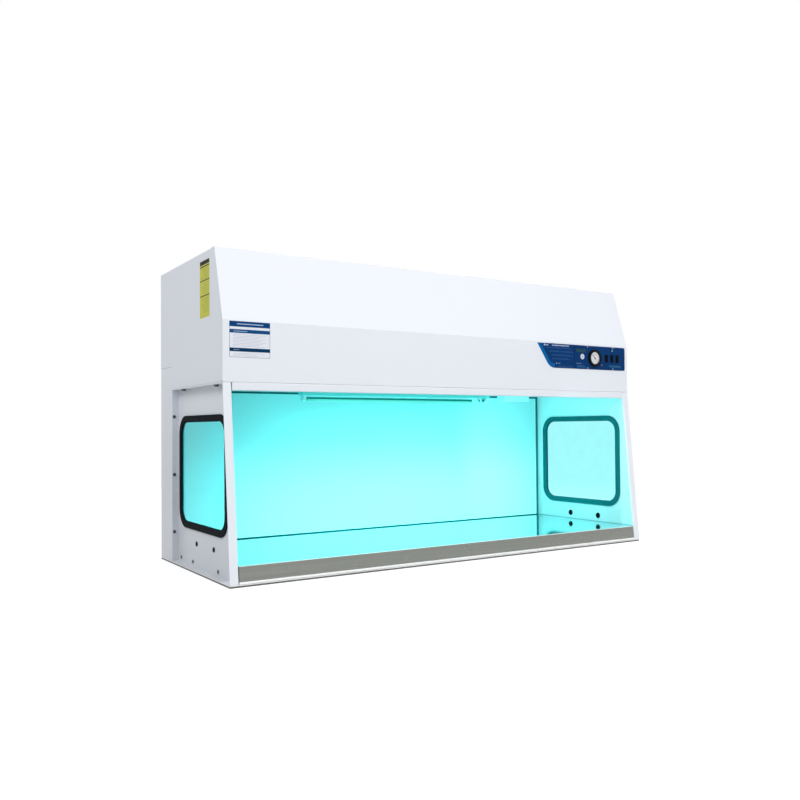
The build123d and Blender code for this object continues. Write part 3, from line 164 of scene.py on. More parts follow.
def powder_coat(name, colour, gloss, chamber=None):
    """Baked powder coat: an even colour, slow drifts of tone, a very fine orange peel, and painted shade low down
    behind the front.

    Faces turned to the work chamber take the chamber colour, where one is given: painted light, the colour the coat
    shows under the chamber's UV lamp, paler still near the right-hand wall.
    """
    finish = Finish(name, Specular_IOR_Level=0.3)
    drift = finish.noise(2.3, 2.0)
    handling = finish.noise(14.0, 4.0, 0.6)
    peel = finish.noise(620.0, 2.0, 0.6)
    tone = finish.spread(drift * 0.7 + handling * 0.3, (0.30, 0.985), (0.70, 1.0))
    across, deep, up = finish.axis("X"), finish.axis("Y"), finish.axis("Z")
    # Painted shade: faces behind the front are made darker towards the floor, by up to about a quarter at the foot.
    behind = finish.spread(deep, (-0.305, 0.0), (-0.28, 1.0))
    dust_and_low_shade = 1.0 - finish.spread(up, (0.0, 0.24), (0.72, 0.0)) * behind
    if chamber:
        worktop_z, ceiling_z, screen_y, lip_back_y = 0.0660, 0.6515, 0.2493, -0.2955
        back_from_front = (deep + FRONT) - up * SLANT
        past_lip = (up > LIP_Z) * (deep > lip_back_y) + (up < LIP_Z) * (back_from_front > 0.0035)
        returns = abs(across) < RETURN_X + 0.0015
        walls = (abs(across) < WALL_X + 0.00015) * (back_from_front > 0.010)
        between = abs(up - (worktop_z + ceiling_z) / 2) < (ceiling_z - worktop_z) / 2
        inner = returns.either(walls) * between * (deep < screen_y) * past_lip
        # Painted light: the chamber's faces near the right-hand wall are painted a paler cyan than the rest.
        lit_right_wall = finish.spread(across, (0.88, 0.0), (0.91, 1.0))
        colour = finish.blend(inner, colour, finish.blend(lit_right_wall, chamber, (0.62, 0.98, 0.99)))
        # Painted shade: a dark teal line along the foot of the chamber's faces, where they meet the worktop.
        crease_shade = inner * (up < worktop_z + 0.0030) * 0.6
        colour = finish.blend(crease_shade, colour, (0.03, 0.40, 0.42))
        side_joint = finish.box(deep, 0.2280, 0.3660, up, 0.7362, 0.7378) * (abs(across) > HALF_WIDTH - 0.0015)
        colour = finish.blend(side_joint * 0.55, colour, (0.10, 0.11, 0.13))
    return finish.wear(
        Base_Color=finish.shaded(colour, tone * dust_and_low_shade),
        Roughness=handling * 0.16 + (gloss - 0.08),
        Normal=finish.bump(peel, 0.00006, 0.35),
    )


def brushed_steel():
    """The worktop: a mirror-like rolled top, tinted cyan as painted light from the UV lamp, and a satin front apron
    brushed along its length.
    """
    finish = Finish("brushed_stainless", Metallic=1.0)
    height = finish.axis("Z")
    apron = (finish.axis("Y") + (FRONT - 0.0030)) - height * SLANT
    front = finish.spread(apron, (0.0, 1.0), (0.004, 0.0))
    bend = finish.spread(height, (0.0635, 1.0), (0.0665, 0.0))
    brushing = finish.noise(1.0, 4.0, 0.65, finish.stretched((3.0, 900.0, 900.0)))
    rolling = finish.noise(1.0, 3.0, 0.5, finish.stretched((1.2, 60.0, 60.0)))
    stains = finish.noise(5.0, 4.0, 0.6)
    satin = front * bend
    # Painted light: the top's cyan colour stands for the UV lamp's light in the steel.
    top = finish.shaded((0.50, 0.86, 0.88), finish.spread(stains, (0.3, 0.96), (0.7, 1.0)))
    apron_tone = finish.spread(brushing * 0.6 + rolling * 0.4, (0.3, 0.86), (0.7, 1.08))
    satin_colour = finish.shaded((0.255, 0.260, 0.238), apron_tone)
    # Painted highlight: a near-white line along the bend at the apron's top edge.
    edge = finish.spread(abs(height - 0.0661), (0.0006, 1.0), (0.0012, 0.0)) * front
    return finish.wear(
        Base_Color=finish.blend(edge, finish.blend(satin, top, satin_colour), (0.96, 0.97, 0.96)),
        Roughness=satin * 0.20 + finish.spread(stains, (0.3, 0.03), (0.7, 0.06)) + brushing * 0.04,
        Normal=finish.bump(brushing, 0.00003, 0.09),
    )


def plinth_coat():
    """The plinth: pale coat above, and a dark foot line along the floor."""
    finish = Finish("grey_coat", Specular_IOR_Level=0.15)
    scuffs = finish.noise(9.0, 4.0, 0.65, finish.stretched((1.0, 1.0, 6.0)))
    foot = finish.spread(finish.axis("Z"), (0.0050, 1.0), (0.0056, 0.0))
    colour = finish.blend(foot, (0.92, 0.92, 0.90), (0.135, 0.130, 0.118))
    return finish.wear(
        Base_Color=finish.shaded(colour, finish.spread(scuffs, (0.3, 0.88), (0.7, 1.04))),
        Roughness=scuffs * 0.16 + 0.40,
        Normal=finish.bump(finish.noise(620.0, 2.0, 0.6), 0.00006, 0.35),
    )


def spangled_zinc():
    """Hot-dipped sheet with the large soft crystals that zinc sets in."""
    finish = Finish("spangled_zinc", Metallic=1.0)
    crystal = finish.node("ShaderNodeTexVoronoi", {"feature": "F1"},
                          {"Vector": finish.place, "Scale": 85.0, "Randomness": 1.0}, "Color")
    grey = finish.node("ShaderNodeRGBToBW", None, {0: crystal})
    cloud = finish.noise(9.0, 4.0, 0.6)
    tone = grey * 0.22 + cloud * 0.16 + 0.80
    return finish.wear(
        Base_Color=finish.shaded((0.60, 0.61, 0.62), tone),
        Roughness=grey * 0.18 + 0.30,
        Normal=finish.bump(grey + cloud, 0.00008, 0.3),
    )


def turned_metal(name, colour, roughness):
    """Plain metal with a fine machined grain and a little tarnish."""
    finish = Finish(name, Metallic=1.0)
    tarnish = finish.noise(26.0, 4.0, 0.6)
    fine = finish.noise(700.0, 2.0, 0.6)
    return finish.wear(
        Base_Color=finish.shaded(colour, finish.spread(tarnish, (0.3, 0.86), (0.7, 1.03))),
        Roughness=tarnish * 0.14 + (roughness - 0.07),
        Normal=finish.bump(fine, 0.00003, 0.3),
    )


def moulded(name, colour, roughness, grain=900.0, depth=0.00004, chamber=None, **constants):
    """Moulded plastic or rubber: a fine spark-eroded grain and faint handling marks.

    What lies inside the work chamber takes the chamber colour, where one is given: painted light, the colour the
    piece shows under the UV lamp.
    """
    finish = Finish(name, **constants)
    marks = finish.noise(32.0, 3.0, 0.6)
    fine = finish.noise(grain, 2.0, 0.5)
    if chamber:
        inner = finish.box(finish.axis("X"), -WALL_X - 0.0008, WALL_X + 0.0008, finish.axis("Z"), 0.060, 0.6550)
        colour = finish.blend(inner, colour, chamber)
    return finish.wear(
        Base_Color=finish.shaded(colour, finish.spread(marks, (0.3, 0.93), (0.7, 1.05))),
        Roughness=marks * 0.14 + (roughness - 0.07),
        Normal=finish.bump(fine, depth, 0.4),
    )


def perforated_screen():
    """The protective screen over the filter: white coated sheet with a close pattern of fine holes, painted in the
    cyan it shows under the UV lamp, with a painted highlight near its right edge and painted shade along its sides.
    """
    finish = Finish("screen_coat", Specular_IOR_Level=0.3)
    pitch = 0.0042
    across, up = finish.axis("X"), finish.axis("Z")
    row = up * (1 / (pitch * 0.866))
    step = (row % 2.0) > 1.0
    x = (across * (1 / pitch) + step * 0.5) % 1.0 - 0.5
    z = (row % 1.0 - 0.5) * 0.866
    distance = x.math("SQRT", x * x + z * z)
    hole = finish.spread(distance, (0.27, 1.0), (0.33, 0.0))
    drift = finish.noise(1.6, 3.0)
    # Painted light: the coat's cyan stands for the UV lamp's light on the white coat.
    coat = finish.shaded((0.43, 0.88, 0.89), finish.spread(drift, (0.3, 0.975), (0.7, 1.0)))
    # Painted highlight: a pale line near the screen's right edge.
    edge_highlight = finish.spread(abs(across - 0.8895), (0.0018, 0.6), (0.0030, 0.0))
    coat = finish.blend(edge_highlight, coat, (0.70, 0.98, 0.98))
    # Painted shade: the screen's side edges take the dark teal of the shaded gap beside them.
    coat = finish.blend(abs(across) > 0.8940, coat, (0.004, 0.16, 0.17))
    return finish.wear(
        Base_Color=finish.blend(hole * 0.20, coat, (0.20, 0.62, 0.64)),
        Roughness=hole * 0.2 + 0.5,
        Normal=finish.bump(1.0 - hole, 0.0002, 0.25),
    )


def pleated_paper():
    """Glass-fibre paper folded into deep pleats."""
    finish = Finish("pleated_paper", Roughness=0.9, Specular_IOR_Level=0.1)
    pleat = finish.node("ShaderNodeTexWave", {"wave_type": "BANDS", "bands_direction": "X", "wave_profile": "TRI"},
                        {"Vector": finish.place, "Scale": 35.0, "Distortion": 0.0}, "Fac")
    fibre = finish.noise(420.0, 4.0, 0.7)
    return finish.wear(
        Base_Color=finish.shaded((0.90, 0.90, 0.86), pleat * 0.28 + fibre * 0.10 + 0.62),
        Normal=finish.bump(pleat + fibre * 0.15, 0.002, 0.7),
    )


def pane(name, colour, ior):
    """A clear pane with the tint given in its colour, a mirror gloss and a faint dusting."""
    finish = Finish(name, Transmission_Weight=1.0, IOR=ior)
    # On the panes this noise is a faint dusting only, with no painted shade.
    dust_and_low_shade = finish.noise(18.0, 5.0, 0.65)
    return finish.wear(
        Base_Color=finish.shaded(colour, finish.spread(dust_and_low_shade, (0.35, 0.97), (0.75, 1.0))),
        Roughness=finish.spread(dust_and_low_shade, (0.4, 0.0), (0.8, 0.03)),
        Normal=finish.bump(finish.noise(6.0, 2.0), 0.0001, 0.05),
    )


def glowing_tube(name, glass, glow, strength, shaded_side=None, lit_end=None):
    """A lamp tube. A lit one is dark along the side in the fitting's shade, and pale at its right-hand cap."""
    finish = Finish(name, Roughness=0.35, Specular_IOR_Level=0.1, Emission_Strength=strength)
    cloud = finish.noise(30.0, 3.0)
    along, up = finish.axis("X"), finish.axis("Z")
    colour = finish.shaded(glass, finish.spread(cloud, (0.3, 0.95), (0.7, 1.0)))
    light = finish.shaded(glow, finish.spread(abs(along), (0.40, 1.0), (0.445, 0.6)))
    if shaded_side:
        cap_x = 0.378
        shade = finish.spread(up, (TUBE_Z - 0.0012, 0.0), (TUBE_Z, 1.0)) * (along < cap_x)
        cap = along > cap_x
        light = finish.blend(shade, finish.blend(cap, light, lit_end), shaded_side)
        colour = finish.shaded(colour, 1.0 - shade * 0.8)
    return finish.wear(Base_Color=colour, Emission_Color=light, Normal=finish.bump(cloud, 0.00005, 0.1))


def control_film():
    """The control plate: deep blue film with a light band up its slanted end and plain printed bars."""
    finish = Finish("control_film", Specular_IOR_Level=0.03)
    across, up = finish.axis("X"), finish.axis("Z")
    cloud = finish.noise(11.0, 3.0)
    field = finish.shaded((0.004, 0.040, 0.150), finish.spread(cloud, (0.3, 0.92), (0.7, 1.06)))
    slant = across - 0.409 - (0.849 - up) * (69 / 101)
    to_corner = finish.distance_to((0.5044, PLATE_Y, 0.798))
    bend = finish.spread(to_corner, (0.0315, 0.0), (0.0330, 1.0)) * (up < 0.770) * (across < 0.505)
    band = finish.spread(slant, (0.0185, 1.0), (0.0200, 0.0)).either(bend)
    colour = finish.blend(band, field, (0.004, 0.105, 0.330))
    # Painted highlight: a paler blue line along the band's slanted outer edge.
    colour = finish.blend(finish.spread(slant, (0.0030, 0.35), (0.0050, 0.0)), colour, (0.02, 0.26, 0.55))
    deep, pale, faint = (0.003, 0.016, 0.075), (0.55, 0.62, 0.78), (0.06, 0.15, 0.36)
    prints = [
        ((0.6165, 0.6195, 0.748, 0.849), deep, 0.9),
        ((0.6280, 0.6850, 0.8190, 0.8345), (0.020, 0.070, 0.090), 0.9),
        ((0.4440, 0.4510, 0.8380, 0.8460), pale, 0.75),
        ((0.4530, 0.4700, 0.8395, 0.8440), pale, 0.60),
        ((0.4890, 0.5870, 0.8395, 0.8440), pale, 0.62),
        ((0.5140, 0.5160, 0.8370, 0.8460), pale, 0.55),
        ((0.5490, 0.5520, 0.8370, 0.8460), pale, 0.55),
        ((0.5120, 0.5180, 0.7650, 0.7690), pale, 0.60),
        ((0.5230, 0.5360, 0.7660, 0.7685), pale, 0.35),
        ((0.6280, 0.6600, 0.7700, 0.7725), pale, 0.28),
        ((0.6320, 0.6780, 0.7600, 0.7625), (0.05, 0.20, 0.36), 0.70),
        ((0.6320, 0.6820, 0.7545, 0.7570), (0.05, 0.20, 0.36), 0.70),
        ((0.8250, 0.8960, 0.7655, 0.7680), (0.10, 0.33, 0.48), 0.55),
        ((0.8330, 0.9030, 0.7605, 0.7625), (0.08, 0.28, 0.42), 0.45),
    ]
    disc = finish.distance_to((0.6650, PLATE_Y, 0.8010))
    colour = finish.blend(finish.spread(disc, (0.0112, 0.95), (0.0120, 0.0)), colour, (0.66, 0.70, 0.74))
    colour = finish.blend(finish.spread(disc, (0.0045, 0.45), (0.0050, 0.0)), colour, (0.20, 0.24, 0.30))
    for x0, x1, z in [(0.456, 0.597, 0.8320), (0.475, 0.611, 0.8170), (0.489, 0.611, 0.8015),
                      (0.491, 0.592, 0.7860), (0.521, 0.615, 0.7545)]:
        prints.append(((x0, x1, z - 0.0026, z - 0.0006), faint, 0.50))
        prints.append(((x0, x1 - 0.012, z + 0.0012, z + 0.0028), faint, 0.40))
    for (x0, x1, z0, z1), ink, strength in prints:
        colour = finish.blend(finish.box(across, x0, x1, up, z0, z1) * strength, colour, ink)
    return finish.wear(
        Base_Color=colour,
        Roughness=cloud * 0.10 + 0.24,
        Normal=finish.bump(finish.noise(700.0, 2.0), 0.00003, 0.25),
    )


def lamp_lens():
    """The indicator's lens: a pale bead of light in a deep blue-green dome."""
    finish = Finish("indicator_lens", Specular_IOR_Level=0.2)
    bead = finish.spread(finish.distance_to((0.844, -0.3105, 0.8335)), (0.0016, 1.0), (0.0034, 0.0))
    glass = finish.shaded((0.03, 0.16, 0.22), finish.spread(finish.noise(90.0, 2.0), (0.3, 0.9), (0.7, 1.1)))
    return finish.wear(
        Base_Color=finish.blend(bead, glass, (0.85, 0.95, 0.93)),
        Roughness=finish.spread(finish.noise(60.0, 2.0), (0.3, 0.12), (0.7, 0.20)),
        Normal=finish.bump(finish.noise(500.0, 2.0), 0.00002, 0.2),
    )


def printed_label(name, paper, face, bars):
    """A film label: its paper colour, and bars given as (low and high across, low and high up) and an ink.

    The face is the axis, X or Y, that runs across the label.
    """
    finish = Finish(name, Specular_IOR_Level=0.04)
    across, up = finish.axis(face), finish.axis("Z")
    cloud = finish.noise(22.0, 3.0)
    colour = finish.shaded(paper, finish.spread(cloud, (0.3, 0.97), (0.7, 1.0)))
    for (x0, x1, z0, z1), ink in bars:
        colour = finish.blend(finish.box(across, x0, x1, up, z0, z1), colour, ink)
    return finish.wear(Base_Color=colour, Roughness=cloud * 0.1 + 0.32,
                       Normal=finish.bump(finish.noise(500.0, 2.0), 0.00003, 0.2))


# Painted light: the colours that the white coat and the black rubber show under the chamber's UV lamp.
CYAN_LIT = (0.42, 0.88, 0.90)
TEAL_LIT = (0.004, 0.150, 0.160)
lit_tube = glowing_tube("uv_tube", (0.02, 0.20, 0.17), (0.09, 0.66, 0.56), 1.0, (0.0, 0.20, 0.17), (0.16, 0.85, 0.86))
black_rubber = moulded("black_rubber", (0.005, 0.007, 0.010), 0.75, 500.0, 0.00008, TEAL_LIT, Specular_IOR_Level=0.05)
black_plastic = moulded("black_plastic", (0.003, 0.005, 0.008), 0.45, Specular_IOR_Level=0.06)
rocker_black = moulded("rocker_black", (0.002, 0.003, 0.004), 0.40, Specular_IOR_Level=0.05)
FINISHES = {
    powder_coat("white_coat", (0.83, 0.85, 0.895), 0.36, CYAN_LIT): [
        "left_side_panel", "right_side_panel", "ceiling_panel", "upper_casing", "front_cover", "rear_casing",
        "upper_back_panel", "work_light_tray", "left_intake_grille", "right_intake_grille"],
    # Painted light and shade: the batten's white coat is given the darker teal it shows under the UV lamp.
    powder_coat("fixture_coat", (0.16, 0.76, 0.73), 0.40): ["uv_batten"],
    # The base pan's coat is a warmer white than the casing's, and brighter: partly its own colour, partly painted
    # light on the lip.
    powder_coat("pan_coat", (1.0, 1.0, 0.98), 0.40): ["base_pan"],
    plinth_coat(): ["base_plinth"],
    brushed_steel(): ["worktop"],
    spangled_zinc(): ["worktop_bearers", "ballasts", "left_intake_box", "right_intake_box", "left_inlet_ring",
                      "right_inlet_ring", "left_motor_bracket", "right_motor_bracket"],
    turned_metal("zinc_plate", (0.36, 0.38, 0.42), 0.34): ["panel_screws"],
    turned_metal("port_metal", (0.20, 0.24, 0.30), 0.40): ["test_port"],
    turned_metal("aged_zinc", (0.15, 0.16, 0.18), 0.40): ["side_screws"],
    turned_metal("dark_steel", (0.15, 0.16, 0.17), 0.42): ["column_screws", "overhang_bolts"],
    turned_metal("shaft_steel", (0.56, 0.56, 0.57), 0.22): ["left_motor_shaft", "right_motor_shaft"],
    turned_metal("impeller_aluminium", (0.66, 0.67, 0.69), 0.34): ["left_impeller", "right_impeller"],
    turned_metal("filter_aluminium", (0.68, 0.69, 0.71), 0.38): ["filter_frame"],
    moulded("motor_enamel", (0.16, 0.17, 0.18), 0.45, 300.0, 0.0001): ["left_motor", "right_motor"],
    perforated_screen(): ["filter_screen"],
    pleated_paper(): ["filter_media", "left_prefilter", "right_prefilter"],
    # Painted light: the windows' cyan tint stands for the UV lamp's light; the real glass is taken to be clear.
    pane("window_glass", (0.38, 0.98, 1.0), 1.16): ["left_window", "right_window"],
    pane("clear_lens", (1.0, 1.0, 1.0), 1.22): ["gauge_lens"],
    lit_tube: ["uv_lamp"],
    glowing_tube("lamp_tube", (0.90, 0.90, 0.90), (0.9, 0.95, 1.0), 0.05): ["work_lamp"],
    black_rubber: ["left_window_seal", "right_window_seal", "filter_gasket"],
    moulded("plug_black", (0.002, 0.003, 0.004), 0.5, Specular_IOR_Level=0.05): ["hole_plugs"],
    black_plastic: ["gauge_housing", "switch_frames", "power_inlet"],
    rocker_black: ["blower_rocker", "light_rocker", "uv_rocker"],
    moulded("pointer_slate", (0.07, 0.065, 0.12), 0.5): ["gauge_pointer"],
    moulded("dial_white", (0.98, 0.97, 1.0), 0.45): ["gauge_dial"],
    lamp_lens(): ["indicator_lamp"],
    # Painted light: the white plastic of the lampholders and the ballast cover is given the cyan it shows under the
    # UV lamp.
    moulded("white_plastic", (0.50, 0.93, 0.95), 0.40): ["uv_lampholders", "uv_ballast_cover", "work_lampholders"],
    control_film(): ["control_plate"],
}
for material, names in FINISHES.items():
    for name in names:
        for slot in nodes[name].material_slots:
            slot.material = material


# ---------------------------------------------------------------- modelling


def nothing_selected():
    if bpy.context.mode != "OBJECT":
        bpy.ops.object.mode_set(mode="OBJECT")
    bpy.ops.object.select_all(action="DESELECT")


def pick(piece, kind, wanted):
    """Selects the faces or edges that the test wants, and no others, in edit mode."""
    mesh = bmesh.from_edit_mesh(piece.data)
    for part in (*mesh.verts, *mesh.edges, *mesh.faces):
        part.select = False
    for part in getattr(mesh, kind):
        if wanted(part):
            part.select_set(True)
    bmesh.update_edit_mesh(piece.data)


def sheet(width, height, place=(0.0, 0.0, 0.0), turn=(0.0, 0.0, 0.0)):
    """A flat sheet of the given size to begin a piece with, selected and in object mode."""
    nothing_selected()
    bpy.ops.mesh.primitive_plane_add(size=1.0, location=place, rotation=turn)
    piece = bpy.context.object
    piece.scale = (width, height, 1.0)
    bpy.ops.object.transform_apply(location=False, rotation=False, scale=True)
    return piece


def thicken(piece, thickness, offset=0.0):
    """Gives a sheet its thickness: half on each side, or all on its front with an offset of 1."""
    thick = piece.modifiers.new("thickness", "SOLIDIFY")
    thick.thickness = thickness
    thick.offset = offset
    bpy.ops.object.modifier_apply(modifier=thick.name)


def outward_normals():
    bpy.ops.mesh.select_all(action="SELECT")
    bpy.ops.mesh.normals_make_consistent(inside=False)


def set_on(piece, place, outward, turn):
    """Moves a piece that was made facing up to its place, facing outward, and turned about that way."""
    facing = Vector(outward).to_track_quat("Z", "Y").to_matrix().to_4x4()
    piece.matrix_world = Matrix.Translation(place) @ facing @ Matrix.Rotation(turn, 4, "Z")
    bpy.ops.object.transform_apply(location=True, rotation=True, scale=True)


def settle(piece, name, material):
    """Finishes a piece: its place goes into its mesh, and it gets its name and finish and rides the cabinet."""
    nothing_selected()
    piece.select_set(True)
    bpy.context.view_layer.objects.active = piece
    bpy.ops.object.transform_apply(location=True, rotation=True, scale=True)
    piece.name = name
    piece.data.name = name
    piece.data.materials.clear()
    piece.data.materials.append(material)
    piece.select_set(False)
    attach(piece, "cabinet")


def join(pieces):
    """Joins the pieces into the first of them."""
    nothing_selected()
    for piece in pieces:
        piece.select_set(True)
    bpy.context.view_layer.objects.active = pieces[0]
    if len(pieces) > 1:
        bpy.ops.object.join()
    return pieces[0]


def stuck_film(name, material, face, low, high, level, corner):
    """A label stuck flat on a panel: a rounded sheet, its edge just proud of the paint."""
    along, up = [(a + b) / 2 for a, b in zip(low, high)]
    if face == "front":
        place, turn = (along, level, up), (math.pi / 2, 0.0, 0.0)
    else:
        place, turn = (level, along, up), (math.pi / 2, 0.0, -math.pi / 2)
    film = sheet(high[0] - low[0], high[1] - low[1], place, turn)
    bpy.ops.object.mode_set(mode="EDIT")
    bpy.ops.mesh.select_all(action="SELECT")
    bpy.ops.mesh.bevel(offset=corner, segments=4, affect="VERTICES")
    bpy.ops.mesh.inset(thickness=0.0006, depth=0.0)
    bpy.ops.object.mode_set(mode="OBJECT")
    thicken(film, 0.00012, 1.0)
    settle(film, name, material)


# The plain service label on the fascia, and the yellow care label on the left side.
WHITE, INK = (0.80, 0.82, 0.88), (0.50, 0.54, 0.62)
x0, x1, z0, z1 = -0.917, -0.775, 0.734, 0.852
bars = [
    ((x0, x1, z1 - 0.0180, z1), (0.004, 0.052, 0.185)),
    ((x0 + 0.026, x1 - 0.024, z1 - 0.0105, z1 - 0.0075), (0.42, 0.52, 0.68)),
    ((x0, x1, z1 - 0.0385, z1 - 0.0265), (0.007, 0.072, 0.210)),
    ((x0 + 0.014, x0 + 0.062, z1 - 0.0340, z1 - 0.0315), (0.30, 0.42, 0.58)),
    ((x0, x1, z1 - 0.0990, z1 - 0.0870), (0.003, 0.036, 0.105)),
    ((x0 + 0.014, x0 + 0.034, z1 - 0.0940, z1 - 0.0920), (0.22, 0.30, 0.42)),
]
for line in range(9):
    z = z1 - 0.0440 - line * 0.0047
    bars.append(((x0 + 0.012, x1 - 0.012 - (line * 7 % 5) * 0.007, z - 0.0007, z + 0.0007), INK))
for line in range(3):
    z = z1 - 0.1045 - line * 0.0042
    bars.append(((x0 + 0.012, x1 - 0.020 - (line * 3 % 4) * 0.010, z - 0.0006, z + 0.0006), INK))
for edge in ((x0, x0 + 0.0011, z0, z1), (x1 - 0.0011, x1, z0, z1), (x0, x1, z0, z0 + 0.0011)):
    bars.append((edge, (0.06, 0.09, 0.16)))
stuck_film("service_label", printed_label("service_label", WHITE, "X", bars),
           "front", (x0, z0), (x1, z1), FASCIA_Y, 0.002)

y0, y1, z0, z1 = -0.186, -0.091, 0.880, 1.075
YELLOW, BLACK = (0.68, 0.66, 0.085), (0.008, 0.009, 0.010)
bars = [
    ((y0 + 0.001, y1 - 0.001, z1 - 0.0145, z1 - 0.0008), BLACK),
    ((y0 + 0.003, y1 - 0.003, z1 - 0.0225, z1 - 0.0185), BLACK),
    ((y0 + 0.002, y1 - 0.002, z1 - 0.0705, z1 - 0.0670), BLACK),
    ((y0 + 0.002, y1 - 0.002, z1 - 0.1225, z1 - 0.1190), BLACK),
]
for line in range(30):
    z = z1 - 0.0260 - line * 0.0052
    if min(abs(z - (z1 - 0.0688)), abs(z - (z1 - 0.1208))) > 0.005:
        bars.append(((y0 + 0.007, y1 - 0.010 - (line * 7 % 6) * 0.006, z - 0.0006, z + 0.0006), (0.40, 0.38, 0.06)))
stuck_film("care_label", printed_label("care_label", YELLOW, "Y", bars),
           "side", (y0, z0), (y1, z1), -HALF_WIDTH, 0.002)


# Strips in the gap at each end of the lip, and between the apron and each post: the dark ones are painted shade in
# the gaps, and the pale one at the right fills its gap in pale grey.
def joint_strip(x, width, foot, head, low, high):
    """One strip: a plate drawn from its foot to its head, and dished a little on its front.

    The foot and the head are given in Y, and low and high in Z.
    """
    strip = sheet(width, 0.0010, (x, foot, low))
    bpy.ops.object.mode_set(mode="EDIT")
    bpy.ops.mesh.select_all(action="SELECT")
    bpy.ops.mesh.extrude_region_move(TRANSFORM_OT_translate={"value": (0.0, head - foot, high - low)})
    outward_normals()
    pick(strip, "faces", lambda face: face.normal.y < -0.9)
    bpy.ops.mesh.inset(thickness=width * 0.22, depth=-0.0003)
    bpy.ops.object.mode_set(mode="OBJECT")
    return strip


def sealant(name, colour):
    return moulded(name, colour, 0.6, Specular_IOR_Level=0.1)


left_y, right_y = FASCIA_Y + 0.0014, FASCIA_Y + 0.0008
# Painted shade: the strip in the left gap is dark grey.
settle(joint_strip(-RETURN_X, 0.0036, left_y, left_y, 0.6268, 0.6528), "left_lip_gap_shade",
       sealant("grey_gap_shade", (0.20, 0.21, 0.23)))
settle(joint_strip(RETURN_X, 0.0036, right_y, right_y, 0.6262, 0.6528), "right_lip_gap_filler",
       sealant("pale_gap_filler", (0.80, 0.81, 0.86)))
# Painted shade: near-black strips in the gaps between the apron and the posts.
low, high = 0.0100, 0.0655
foot, head = [z * SLANT - FRONT + 0.0025 for z in (low, high)]
settle(join([joint_strip(side * (RETURN_X - 0.0010), 0.0018, foot, head, low, high) for side in (-1, 1)]),
       "apron_gap_shade", sealant("dark_gap_shade", (0.035, 0.038, 0.040)))


# A small plate behind each low front corner of the casing, where the cover and the casing leave a slot.
def corner_backing(side):
    """One plate, 1 mm thick, with its edges bevelled."""
    nothing_selected()
    bpy.ops.mesh.primitive_cube_add(size=1.0, location=(side * 0.9378, -0.2962, 0.6552))
    plate = bpy.context.object
    plate.scale = (0.0010, 0.0170, 0.0094)
    bpy.ops.object.transform_apply(location=False, rotation=False, scale=True)
    bpy.ops.object.mode_set(mode="EDIT")
    bpy.ops.mesh.select_all(action="SELECT")
    bpy.ops.mesh.bevel(offset=0.0003, segments=2)
    bpy.ops.object.mode_set(mode="OBJECT")
    return plate


corner_coat = moulded("corner_coat", (0.60, 0.61, 0.65), 0.6, Specular_IOR_Level=0.1)
settle(join([corner_backing(side) for side in (-1, 1)]), "corner_backings", corner_coat)


# Spring clips that hold the tube by its caps.
def spring_clip(x, width):
    """One clip: a strip bent round the tube's cap by spinning its edge, and thickened."""
    clip = sheet(width, 0.0022, (x, TUBE_Y - 0.0088, TUBE_Z), (math.pi / 2, 0.0, 0.0))
    bpy.ops.object.mode_set(mode="EDIT")
    pick(clip, "edges", lambda edge: all((clip.matrix_world @ vert.co).z < TUBE_Z for vert in edge.verts))
    bpy.ops.mesh.spin(steps=16, angle=math.radians(200.0), center=(x, TUBE_Y, TUBE_Z), axis=(1.0, 0.0, 0.0))
    bpy.ops.mesh.select_all(action="SELECT")
    bpy.ops.mesh.remove_doubles(threshold=0.00001)
    outward_normals()
    bpy.ops.object.mode_set(mode="OBJECT")
    thicken(clip, 0.0005)
    return clip


# Painted light: the clips are given the dark teal they show under the UV lamp.
settle(join([spring_clip(0.418, 0.007), spring_clip(0.441, 0.013), spring_clip(-0.4475, 0.003)]), "tube_clips",
       moulded("clip_uv_lit", (0.01, 0.20, 0.20), 0.5, Specular_IOR_Level=0.1))

# The gauge's printed scale: a ring sector, its marks and its numbers, on the dial.
INK_THICKNESS = 0.00008
SCALE_SWEEP = 90
NUMBER_STEP = 18
dial_ink = moulded("dial_ink", (0.035, 0.03, 0.12), 0.5)


def dial_turn(sweep):
    """The turn from upright, in radians, at a sweep in degrees from the low end of the scale."""
    return math.radians(sweep - SCALE_SWEEP / 2)


def dial_point(radius, sweep):
    turn = dial_turn(sweep)
    return Vector((DIAL_X + radius * math.sin(turn), DIAL_Y, DIAL_Z + radius * math.cos(turn)))


def place_on_dial(piece, radius, sweep):
    """Moves a sheet made at the origin to its place on the dial, turned with the sweep."""
    piece.rotation_euler = (0.0, dial_turn(sweep), 0.0)
    piece.location = dial_point(radius, sweep)
    bpy.ops.object.transform_apply(location=True, rotation=True, scale=True)


def upright_sheet(width, height):
    piece = sheet(width, height, turn=(math.pi / 2, 0.0, 0.0))
    bpy.ops.object.transform_apply(location=False, rotation=True, scale=False)
    return piece


def dial_mark(sweep, inner, outer, width):
    """One raised mark: a narrow sheet along the radius, drawn out by its thickness of ink."""
    mark = upright_sheet(width, (outer - inner) / 2)
    bpy.ops.object.mode_set(mode="EDIT")
    bpy.ops.mesh.select_all(action="SELECT")
    bpy.ops.mesh.extrude_region_move(TRANSFORM_OT_translate={"value": (0.0, -INK_THICKNESS, 0.0)})
    bpy.ops.object.mode_set(mode="OBJECT")
    place_on_dial(mark, (inner + outer) / 2, sweep)
    return mark


